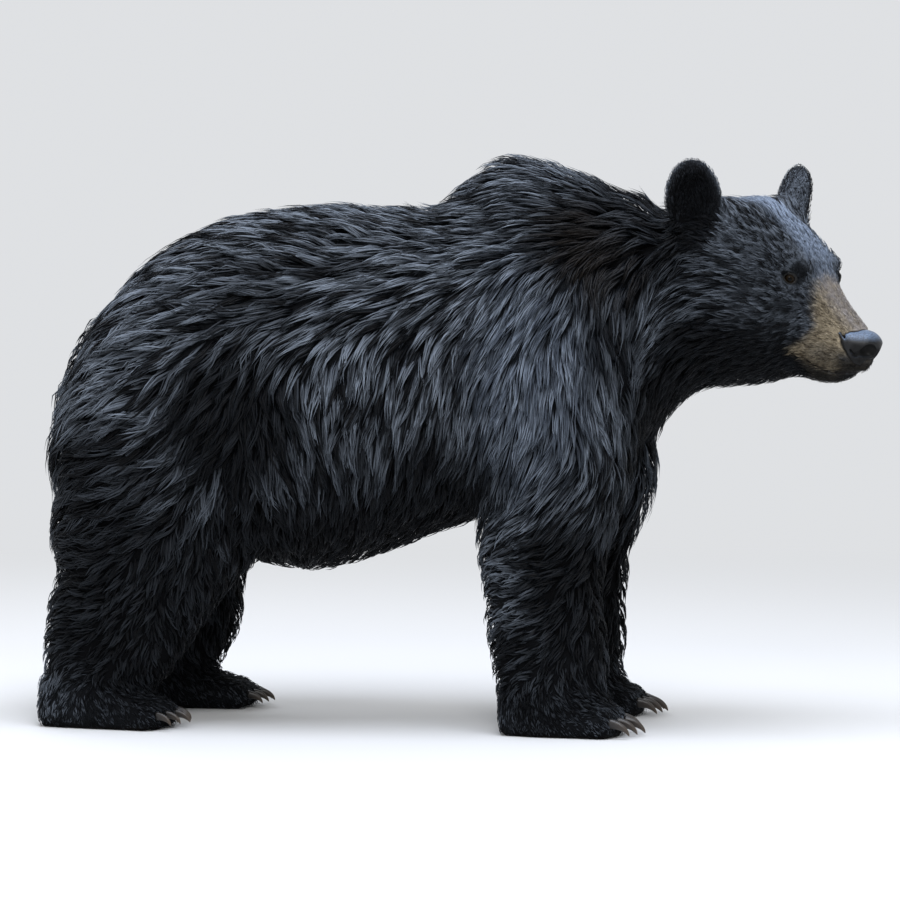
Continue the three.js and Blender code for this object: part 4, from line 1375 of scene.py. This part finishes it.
def nose_leather(colours):
    """A bear's nose pad: hairless black skin in pebbles about 1.3 mm across, paler and
    bluer on top where it faces up, a painted reflection of the sky, kept damp so that it
    shines softly, and dull black in the nostrils, partly their own dark and partly
    painted shade, and under the dome, which is painted shade."""
    material, tree = new_material("damp_nose_leather")
    pebbles = node(
        tree, "TexVoronoi", {"Scale": 760.0, "Randomness": 0.9, "Vector": object_place(tree)},
        feature="DISTANCE_TO_EDGE",
    )
    height = ranged(tree, pebbles.outputs["Distance"], 0.0, 0.25)
    # Painted reflection: the nose is paler and bluer where it faces up.
    top = mixed(tree, attribute(tree, "top"), colours.nose, colours.nose_top_light)
    # Painted shade, with the nostrils' own dark: black in the nostrils and under the dome.
    deep = attribute(tree, "deep")
    colour = mixed(tree, deep, mixed(tree, height, colours.nose_crease, top), NEAR_BLACK)
    gloss = {
        "Roughness": worked(tree, "MULTIPLY_ADD", deep, 0.55, 0.34),
        "Specular IOR Level": 0.3, "Coat Weight": 0.06, "Coat Roughness": 0.2,
    }
    shaded(tree, colour, gloss, height, 0.35, 0.0005)
    return material


def lid_skin(colours):
    """Eyelid margin: thin hairless black skin, satin, with a damp edge."""
    material, tree = new_material("satin_lid_skin")
    # Fine wrinkles about 1 mm apart.
    wrinkles = noise(tree, object_place(tree), 900.0, 3.0)
    colour = mixed(tree, wrinkles, NEAR_BLACK, colours.lid)
    gloss = {"Roughness": 0.28, "Specular IOR Level": 0.28}
    shaded(tree, colour, gloss, wrinkles, 0.35, 0.0004)
    return material


def wet_eye(colours):
    """A living eye: black pupil, brown iris with fine spokes, dark brown outside it, all
    under one clear film of tears."""
    material, tree = new_material("wet_brown_eye")
    polar = attribute(tree, "polar")
    spokes = noise(tree, attribute(tree, "spoke"), 9.0, 2.0, "1D")
    iris = mixed(tree, spokes, colours.iris_dark, colours.iris)
    # Degrees from the gaze: the pupil's soft edge, then the iris's.
    colour = mixed(tree, ranged(tree, polar, 13.0, 17.0), NEAR_BLACK, iris)
    colour = mixed(tree, ranged(tree, polar, 29.0, 34.0), colour, colours.eye_white)
    gloss = {
        "Roughness": 0.3, "Specular IOR Level": 0.0, "Coat Weight": 0.35,
        "Coat Roughness": 0.02, "Coat IOR": 1.336,
    }
    shaded(tree, colour, gloss)
    return material


def dark_horn(colours):
    """Claw horn: dense keratin, nearly black at the root and browner at the worn tip,
    with fine lengthwise growth lines about 0.4 mm apart."""
    material, tree = new_material("dark_claw_horn")
    lines = strands(tree, "Growth", 60.0, 1.5, 3.0)
    tip = worked(tree, "POWER", attribute(tree, "along"), 1.6)
    tip = worked(tree, "MULTIPLY", tip, lines)
    colour = mixed(tree, tip, colours.claw, colours.claw_tip)
    gloss = {"Roughness": 0.36, "Specular IOR Level": 0.5}
    shaded(tree, colour, gloss, lines, 0.3, 0.0003)
    return material


# ---------- settings ----------
def colour_setting(name, description, code):
    return FloatVectorProperty(
        name=name, description=description, subtype="COLOR", size=3, min=0, max=1,
        default=linear(code),
    )


def share_setting(name, measure, low, high):
    return FloatProperty(
        name=name, description=f"Share of {measure}", default=1.0, min=low, max=high,
        subtype="FACTOR",
    )


class BearColours(bpy.types.PropertyGroup):
    """Colours of the coat, skin, eyes, nose and claws."""

    root: colour_setting("Hair root", "Hair at the skin, in shade", "#040405")
    # The dark tip is also the colour of the painted shade.
    dark_tip_and_shade: colour_setting("Dark hair tip", "Tips of the darkest locks", "#090a0c")
    # The pale tip is partly the hair's own paler tone and partly painted sheen, the blue-grey
    # that glossy black hair takes from the sky.
    pale_tip_and_sheen: colour_setting("Pale hair tip", "Tips of the palest locks", "#868f9b")
    # Colour of the painted highlight along the crown and of the painted light on the
    # shoulders.
    painted_sheen: colour_setting("Frost", "Hair tips along the crown", "#a3b2c8")
    brown: colour_setting("Brown cast", "Hair tips behind the ears", "#1c1712")
    tan: colour_setting("Muzzle tan", "Pale hair on the muzzle", "#9b8f79")
    tan_dark: colour_setting("Dark muzzle tan", "Dark hair on the muzzle", "#3b3226")
    grey: colour_setting("Bridge grey", "Hair along the bridge of the nose", "#8b8684")
    lip: colour_setting("Lip", "Lips and soles", "#100d0b")
    lid: colour_setting("Eyelid", "Rims of the eyelids", "#080706")
    nose: colour_setting("Nose", "Pebbles of the nose's front and underside", "#0e0f11")
    # The top's colour is painted light: a blue-grey stand-in for the sky's reflection on the
    # pad.
    nose_top_light: colour_setting("Nose top", "Pebbles of the nose's drier top", "#7488a3")
    nose_crease: colour_setting("Nose crease", "Between the nose's pebbles", "#0a0a0b")
    iris: colour_setting("Iris", "Pale spokes of the iris", "#20170c")
    iris_dark: colour_setting("Dark iris", "Between the spokes", "#0f0b06")
    eye_white: colour_setting("Outside the iris", "What shows at the eye's corners", "#0b0706")
    claw: colour_setting("Claw", "Claw at its root", "#14110f")
    claw_tip: colour_setting("Claw tip", "Claw at its worn tip", "#5c4c3c")


class BearCoat(bpy.types.PropertyGroup):
    """Shares by which the coat's own sizes are changed."""

    depth: share_setting("Depth", "the coat's usual depth", 0.5, 1.2)
    length: share_setting("Length", "the hair's usual length", 0.5, 1.5)
    width: share_setting("Lock width", "a lock's usual width", 0.3, 2.0)
    wave: share_setting("Wave", "the locks' usual wave", 0.0, 3.0)
    seed: IntProperty(
        name="Seed", description="Starts the scatter of the locks", default=7, min=0
    )


class BearStage(bpy.types.PropertyGroup):
    """Floor, light and camera."""

    floor: colour_setting("Floor", "Floor round the bear", "#d6d6d5")
    sky: colour_setting("Sky", "Light from all round", "#f6f8fb")
    sky_strength: FloatProperty(
        name="Sky strength", description="Brightness of the light from all round",
        default=0.8, min=0,
    )
    key_power: FloatProperty(
        name="Key light", description="Power of the large light overhead", default=120,
        min=0, unit="POWER",
    )
    azimuth: FloatProperty(
        name="Azimuth", description="Turn of the camera round the bear",
        default=math.radians(10), subtype="ANGLE",
    )
    elevation: FloatProperty(
        name="Elevation", description="Height of the camera above the horizon",
        default=math.radians(3), subtype="ANGLE",
    )
    distance: FloatProperty(
        name="Distance", description="From the camera to its target", default=7.0,
        min=1, unit="LENGTH",
    )
    lens: FloatProperty(
        name="Lens", description="Focal length of the camera", default=186.67, min=10,
        unit="CAMERA",
    )


# ---------- operators ----------
def flesh_nodes():
    """The solids that the skin stands for."""
    nodes = ["trunk", "neck", "head", "muzzle", "lower_jaw", "tail", "ear_right", "ear_left"]
    for foot in FEET:
        nodes += [f"{part}_{foot['name']}" for part in ("upper_leg", "lower_leg", "paw")]
    return nodes


# Stretches of the skin's lattice along x, y and z: start, end and spacing.
SKIN_CELLS = (
    ((-650, 300, 14), (300, 470, 7), (470, 560, 3.4), (560, 650, 2.2)),
    ((-250, -200, 12), (-200, -85, 2.6), (-85, 125, 4.2), (125, 250, 12)),
    ((-12, 90, 6), (90, 500, 13), (500, 535, 4), (535, 690, 2.6), (690, 885, 4.2)),
)
NOSE_CELLS = (((86, 156, 1.3),), ((-39, 39, 1.3),), ((-99, -40, 1.3),))


class BEAR_OT_skin(bpy.types.Operator):
    """One seamless skin, from the nose pad's edge to the soles and the tail"""

    bl_idname = "bear.skin"
    bl_label = "Skin"

    def execute(self, context):
        axes = [lattice(*stretches) for stretches in SKIN_CELLS]
        points, faces = wrapped(skin_form, axes)
        points, normals = settled(skin_form, points, reach=3.0)
        points[:, 2] = np.maximum(points[:, 2], 0)
        put(
            "skin", points, faces, hide(context.scene.bear_colours),
            flesh_nodes(), markings_and_painted_light(points, normals[:, 2]),
        )
        return {"FINISHED"}


class BEAR_OT_nose(bpy.types.Operator):
    """The nose pad, with comma nostrils, wings and the groove between them"""

    bl_idname = "bear.nose"
    bl_label = "Nose"

    def execute(self, context):
        axes = [lattice(*stretches) for stretches in NOSE_CELLS]
        points, faces = wrapped(nose_form, axes)
        points, normals = settled(nose_form, points, reach=1.0)
        # Painted shade under the dome's front; the nostrils are darkened too, partly dark of
        # their own, partly painted shade.
        under = smooth(points[:, 2], -60, -67) * smooth(points[:, 0], 116, 128)
        values = dict(
            deep=np.maximum(smooth(-gathered(NOSE_HULL, points), 0.8, 3.5), 0.9 * under),
            # Painted reflection: paler where the pad faces up.
            top=smooth((normals @ HEAD[1])[:, 2], 0.2, 0.8),
        )
        put(
            "nose_pad", out_of(HEAD, points), faces,
            nose_leather(context.scene.bear_colours), ["nose"], values,
        )
        return {"FINISHED"}


def on_ball(polar, turn, radius):
    """Points of a ball: polar is the angle from the gaze, turn goes round it."""
    return np.stack(
        [
            radius * np.cos(polar),
            radius * np.sin(polar) * np.cos(turn),
            radius * np.sin(polar) * np.sin(turn),
        ],
        -1,
    )


# Height of the cornea, and degrees from the gaze where it starts and where it is flat.
CORNEA = dict(rise=0.9, edge=34, flat=8)
# Section of the lids: degrees beyond their edge, and distance from the ball's middle.
LID_SECTION = (
    (-1, 11.7), (-1, 12.5), (1.5, 13.2), (5, 13.7), (10, 13.8), (15, 13.5), (20, 12.9),
    (25, 12.1), (24, 11.2), (12, 11.0),
)
UPPER_LID_HEAVIER = 0.25


class BEAR_OT_eyes(bpy.types.Operator):
    """Both eyeballs, each with its bulging cornea, and the lids round them"""

    bl_idname = "bear.eyes"
    bl_label = "Eyes and lids"

    def execute(self, context):
        colours = context.scene.bear_colours
        for name, side in SIDES.items():
            self.eyeball(side, name, wet_eye(colours))
            self.lids(side, name, lid_skin(colours))
        return {"FINISHED"}

    def put(self, piece, side, points, faces, material, slot, nodes=(), values=None):
        """Puts a piece of an eye in its place. A left eye is a mirrored right one, so its
        faces are turned round."""
        turned = faces[:, ::-1] if side > 0 else faces
        placed_points = out_of(HEAD, out_of(EYES[side], points))
        put(piece, placed_points, turned, material, nodes, values)

    def eyeball(self, side, name, material):
        """A ball with a low, even swelling, the cornea, round the gaze."""
        rows, columns = 30, 40
        polar = np.linspace(0, np.pi, rows + 2)[1:-1, None]
        turn = around(columns)[None]
        swelling = CORNEA["rise"] * smooth(np.degrees(polar), CORNEA["edge"], CORNEA["flat"])
        points = on_ball(polar, turn, EYE_RADIUS + swelling + 0 * turn).reshape(-1, 3)
        ends = np.array([[EYE_RADIUS + CORNEA["rise"], 0, 0], [-EYE_RADIUS, 0, 0]])
        values = dict(
            polar=np.append(np.repeat(np.degrees(polar.ravel()), columns), [0, 180]),
            spoke=np.append(np.tile(np.abs(turn.ravel() - np.pi), rows), [0, 0]),
        )
        self.put(
            f"eyeball_{name}", side, np.concatenate([points, ends]), capped(rows, columns),
            material, "eye", [f"eye_{name}"], values,
        )

    def lids(self, side, name, material):
        """A closed rim round the opening: its edge is an almond on the ball, and its
        section runs from the ball over the lid's margin and down into the skin. The
        section is the smooth closed curve through its points whose slope at each is half
        the way between its neighbours."""
        rows, columns = 30, 72
        turn = around(columns)
        at = np.arange(rows) * len(LID_SECTION) / rows
        i = at.astype(int)
        t = (at - i)[:, None]
        before, here, after, beyond = (
            np.array(LID_SECTION)[(i + k) % len(LID_SECTION)] for k in (-1, 0, 1, 2)
        )
        curve = 0.5 * (
            2 * here
            + (after - before) * t
            + (2 * before - 5 * here + 4 * after - beyond) * t**2
            + (3 * here - before - 3 * after + beyond) * t**3
        )
        polar = np.radians(lid_edge(turn)[None] + curve[:, :1])
        heavier = 1 + UPPER_LID_HEAVIER * np.maximum(np.sin(turn), 0)
        radius = EYE_RADIUS + (curve[:, 1:] - EYE_RADIUS) * heavier[None]
        points = on_ball(polar, turn[None], radius).reshape(-1, 3)
        faces = grid_faces(rows, columns, round_rows=True)
        self.put(f"eyelids_{name}", side, points, faces, material, "nose_skin")


# Bend of the arc, shares of the width, degrees between two claws, and mm at the root.
CLAW = dict(
    bend=1.2, last_ring=0.97, taper=0.62, tall=1.2, wide=0.78, top_wider=0.2, fan=3,
    sunk=5, raised=2,
)


class BEAR_OT_claws(bpy.types.Operator):
    """Five curved claws on each foot"""

    bl_idname = "bear.claws"
    bl_label = "Claws"

    def execute(self, context):
        material = dark_horn(context.scene.bear_colours)
        for foot in FEET:
            for toe in range(TOES):
                self.claw(foot, toe, material)
        return {"FINISHED"}

    def claw(self, foot, toe, material):
        """Rings along a falling arc. A ring is an oval, taller than wide, with a narrower
        underside, and shrinks by a power of what is left to the tip."""
        length, root, drop = (foot["claw"][k] for k in ("length", "root", "drop"))
        rows, columns, bend = 14, 16, CLAW["bend"]
        t = np.linspace(0, CLAW["last_ring"], rows)
        turn = around(columns)
        middle = np.stack([length * np.sin(bend * t) / bend, 0 * t, -drop * t**2], 1)
        fall = np.arctan2(2 * drop * t, length * np.cos(bend * t))[:, None]
        width = root * (1 - t)[:, None] ** CLAW["taper"]
        up = CLAW["tall"] * width * np.sin(turn)
        aside = CLAW["wide"] * width * np.cos(turn) * (1 + CLAW["top_wider"] * np.sin(turn))
        points = np.stack([up * np.sin(fall), aside, up * np.cos(fall)], -1) + middle[:, None]
        ends = np.array([[-1.0, 0, 0], [length * math.sin(bend) / bend, 0, -drop]])
        points = np.concatenate([points.reshape(-1, 3), ends])
        fan = math.radians(CLAW["fan"] * (toe - (TOES - 1) / 2))
        turned = np.array(
            [[math.cos(fan), math.sin(fan), 0], [-math.sin(fan), math.cos(fan), 0], [0, 0, 1]]
        )
        start = toe_at(foot, toe) + np.array([TOE_SIZE[0] - CLAW["sunk"], 0, CLAW["raised"]])
        growth = np.stack(
            [np.tile(turn / (2 * np.pi), rows), np.repeat(t * length / 10, columns)], 1
        )
        growth = np.concatenate([growth, [[0.5, 0], [0.5, length / 10]]])
        name = f"{foot['name']}_{toe + 1}"
        put(
            f"horn_{name}", out_of(foot["place"], points @ turned + start),
            capped(rows, columns), material, [f"claw_{name}"],
            dict(along=np.append(np.repeat(t, columns), [0, 1])), {"Growth": growth},
        )


# Stretches of coat in the order in which they grow; those on both sides come in pairs.
COAT_STYLES = dict(
    rump="haunch", flank="trunk", shoulder="shoulder", neck="ruff", hindleg="shank",
    foreleg="shank", cheeks="cheek", brow="brow", orbits="orbit", muzzle="muzzle",
    ear="ear", paw="paw",
)
HEAD_PIECES = ("cheeks", "brow", "orbits", "muzzle")  # each goes across the middle
COAT_PIECES = [
    (piece, style)
    for stretch, style in COAT_STYLES.items()
    for piece in ([stretch] if stretch in HEAD_PIECES else [f"{stretch}_{k}" for k in SIDES])
]


def bare(points, normals):
    """Where no hair grows: nose, eyes, lips and soles."""
    local = into(HEAD, points)
    u, v, w = local.T
    nose = nose_reach(local) < 1.6
    near_eye = np.zeros(len(points), bool)
    for side in EYES:
        degrees, apart = beyond_lids(side, local)
        near_eye |= (degrees < SOCKET_WIDER + 2) & (apart < SOCKET_REACH)
    lips = (np.abs(w - mouth_at(u)) < 2.6) & (u > MOUTH_CORNER) & (points[:, 0] > FACE_FROM)
    sole = (points[:, 2] < 5) & (normals[:, 2] < 0.2)
    return nose | near_eye | lips | sole


class BEAR_OT_coat(bpy.types.Operator):
    """The whole coat, in one piece of joined locks for each stretch of the body"""

    bl_idname = "bear.coat"
    bl_label = "Coat"

    def execute(self, context):
        skin = bpy.data.objects.get("skin")
        if skin is None:
            raise RuntimeError("the coat grows on the skin: make the skin first")
        settings = context.scene.bear_coat
        material = guard_hair(context.scene.bear_colours)
        mesh = skin.data
        points = np.empty(len(mesh.vertices) * 3, np.float32)
        mesh.vertices.foreach_get("co", points)
        points = points.reshape(-1, 3).astype(float) / MM
        corners = np.empty(len(mesh.loops), np.int32)
        mesh.loops.foreach_get("vertex_index", corners)
        quads = corners.reshape(-1, 4)
        faces = np.concatenate([quads[:, :3], quads[:, [0, 2, 3]]])
        a, b, c = (points[faces[:, k]] for k in range(3))
        middle = (a + b + c) / 3
        normals = unit(np.cross(b - a, c - a))
        hairy = ~bare(middle, normals)
        zone = zones(middle)
        for number, (piece, style_name) in enumerate(COAT_PIECES):
            style = STYLES[style_name]
            rng = np.random.default_rng([settings.seed, number])
            own_faces = faces[(zone == piece) & hairy]
            roots = spread_roots(points, own_faces, style["spacing"], rng)
            lock_points, s, length, rise, shape = grow(piece, roots, style, settings, rng)
            values, maps = coat_values(piece, lock_points, s, length, rise, shape, rng)
            triangles = lock_faces(style["segments"], len(lock_points))
            if len(triangles) >= PIECE_LIMIT:
                raise RuntimeError(f"coat_{piece} has {len(triangles)} triangles")
            put(
                f"coat_{piece}", lock_points.reshape(-1, 3), triangles, material,
                values=values, maps=maps,
            )
            print(f"coat_{piece}: {len(lock_points)} locks, {len(triangles)} triangles")
        return {"FINISHED"}


FLOOR_RADIUS, FLOOR_LEVEL = 14000, -0.5
# In metres, but for the sensor, which is in mm.
CAMERA_TARGET, LIGHT_TARGET = (-0.0251, -0.0042, 0.409), (0.0, 0.0, 0.5)
SENSOR_WIDTH, CLIPPING = 36, (0.1, 100)


class BEAR_OT_stage(bpy.types.Operator):
    """A plain pale floor, soft studio light and the camera"""

    bl_idname = "bear.stage"
    bl_label = "Stage"

    def execute(self, context):
        stage = context.scene.bear_stage
        self.floor(stage)
        self.light(context.scene, stage)
        self.camera(context.scene, stage)
        context.scene.view_settings.view_transform = "Standard"
        return {"FINISHED"}

    def floor(self, stage):
        """A wide round floor, in rings, that fades into the sky's colour far out."""
        rows, columns = 24, 96
        radius = np.linspace(0, 1, rows + 1)[1:] ** 2 * FLOOR_RADIUS
        turn = around(columns)
        ring = np.stack([np.cos(turn), np.sin(turn), 0 * turn], 1)
        points = (radius[:, None, None] * ring[None]).reshape(-1, 3)
        points[:, 2] = FLOOR_LEVEL
        mesh = bpy.data.meshes.new("floor")
        cap = [(len(points), j, (j + 1) % columns) for j in range(columns)]
        points = np.concatenate([points, [[0, 0, FLOOR_LEVEL]]])
        faces = grid_faces(rows, columns)[:, ::-1].tolist() + cap
        mesh.from_pydata((points * MM).tolist(), [], faces)
        material, tree = new_material("matt_backdrop_paper")
        place = object_place(tree)
        far = node(tree, "VectorMath", {0: place}, operation="LENGTH").outputs["Value"]
        # Paper fibres about 2 mm long, only just there.
        tint = worked(tree, "MULTIPLY", noise(tree, place, 500.0, 2.0), 0.06)
        colour = mixed(tree, tint, stage.floor, linear("#d9dadb"))
        matt = {"Base Color": colour, "Roughness": 0.9, "Specular IOR Level": 0.2}
        paper = node(tree, "BsdfPrincipled", matt)
        glow = node(tree, "Emission", {"Color": stage.sky, "Strength": stage.sky_strength})
        parts = {0: ranged(tree, far, 1.1, 3.6), 1: paper.outputs[0], 2: glow.outputs[0]}
        blend = node(tree, "MixShader", parts)
        node(tree, "OutputMaterial", {"Surface": blend.outputs[0]})
        mesh.materials.append(material)
        floor = bpy.data.objects.new("floor", mesh)
        bpy.context.scene.collection.objects.link(floor)

    def light(self, scene, stage):
        """Even light from all round, a large key light overhead, a rim light behind the
        bear and a small one that puts the highlight on its right eye."""
        world = bpy.data.worlds.new("studio")
        world.use_nodes = True
        background = world.node_tree.nodes["Background"]
        background.inputs["Color"].default_value = (*stage.sky, 1.0)
        background.inputs["Strength"].default_value = stage.sky_strength
        scene.world = world
        for name, at, size, power, code in (
            ("key", (0.3, -0.9, 3.4), 2.2, stage.key_power, "#e9f0ff"),
            ("rim", (-1.8, 2.4, 2.6), 2.0, stage.key_power * 0.3, "#eef3ff"),
            ("eye_light", (0.53, -3.1, 2.13), 0.9, stage.key_power * 0.3, "#ffffff"),
        ):
            lamp = bpy.data.lights.new(name, "AREA")
            lamp.energy, lamp.size, lamp.color = power, size, linear(code)
            holder = bpy.data.objects.new(name, lamp)
            holder.location = at
            aim = Vector(LIGHT_TARGET) - Vector(at)
            holder.rotation_euler = aim.to_track_quat("-Z", "Y").to_euler()
            scene.collection.objects.link(holder)

    def camera(self, scene, stage):
        """A long lens, turned round the bear from its right side by the azimuth."""
        target = Vector(CAMERA_TARGET)
        a, e = stage.azimuth, stage.elevation
        back = Vector((math.sin(a) * math.cos(e), -math.cos(a) * math.cos(e), math.sin(e)))
        data = bpy.data.cameras.new("camera")
        data.lens, data.sensor_width = stage.lens, SENSOR_WIDTH
        data.clip_start, data.clip_end = CLIPPING
        holder = bpy.data.objects.new("camera", data)
        holder.location = target + back * stage.distance
        holder.rotation_euler = (-back).to_track_quat("-Z", "Y").to_euler()
        scene.collection.objects.link(holder)
        scene.camera = holder


OPERATORS = (
    BEAR_OT_stage, BEAR_OT_skin, BEAR_OT_nose, BEAR_OT_eyes, BEAR_OT_claws, BEAR_OT_coat
)


class BEAR_PT_panel(bpy.types.Panel):
    """Lists the pieces in the order in which they are made"""

    bl_idname = "BEAR_PT_panel"
    bl_label = "Black bear"
    bl_space_type = "VIEW_3D"
    bl_region_type = "UI"
    bl_category = "Bear"

    def draw(self, context):
        column = self.layout.column()
        for operator in OPERATORS:
            column.operator(operator.bl_idname)
        for group in SETTINGS:
            box = column.box()
            box.label(text=group.removeprefix("bear_").capitalize())
            settings = getattr(context.scene, group)
            for key in settings.__annotations__:
                box.prop(settings, key)


SETTINGS = {"bear_colours": BearColours, "bear_coat": BearCoat, "bear_stage": BearStage}


def register():
    for group in (*SETTINGS.values(), *OPERATORS, BEAR_PT_panel):
        bpy.utils.register_class(group)
    for name, group in SETTINGS.items():
        setattr(bpy.types.Scene, name, PointerProperty(type=group))


def unregister():
    for name in SETTINGS:
        delattr(bpy.types.Scene, name)
    for group in (BEAR_PT_panel, *reversed(OPERATORS), *SETTINGS.values()):
        bpy.utils.unregister_class(group)


def main():
    """Makes everything."""
    register()
    bpy.ops.bear.stage()
    bpy.ops.bear.skin()
    bpy.ops.bear.nose()
    bpy.ops.bear.eyes()
    bpy.ops.bear.claws()
    bpy.ops.bear.coat()


if __name__ == "__main__":
    main()
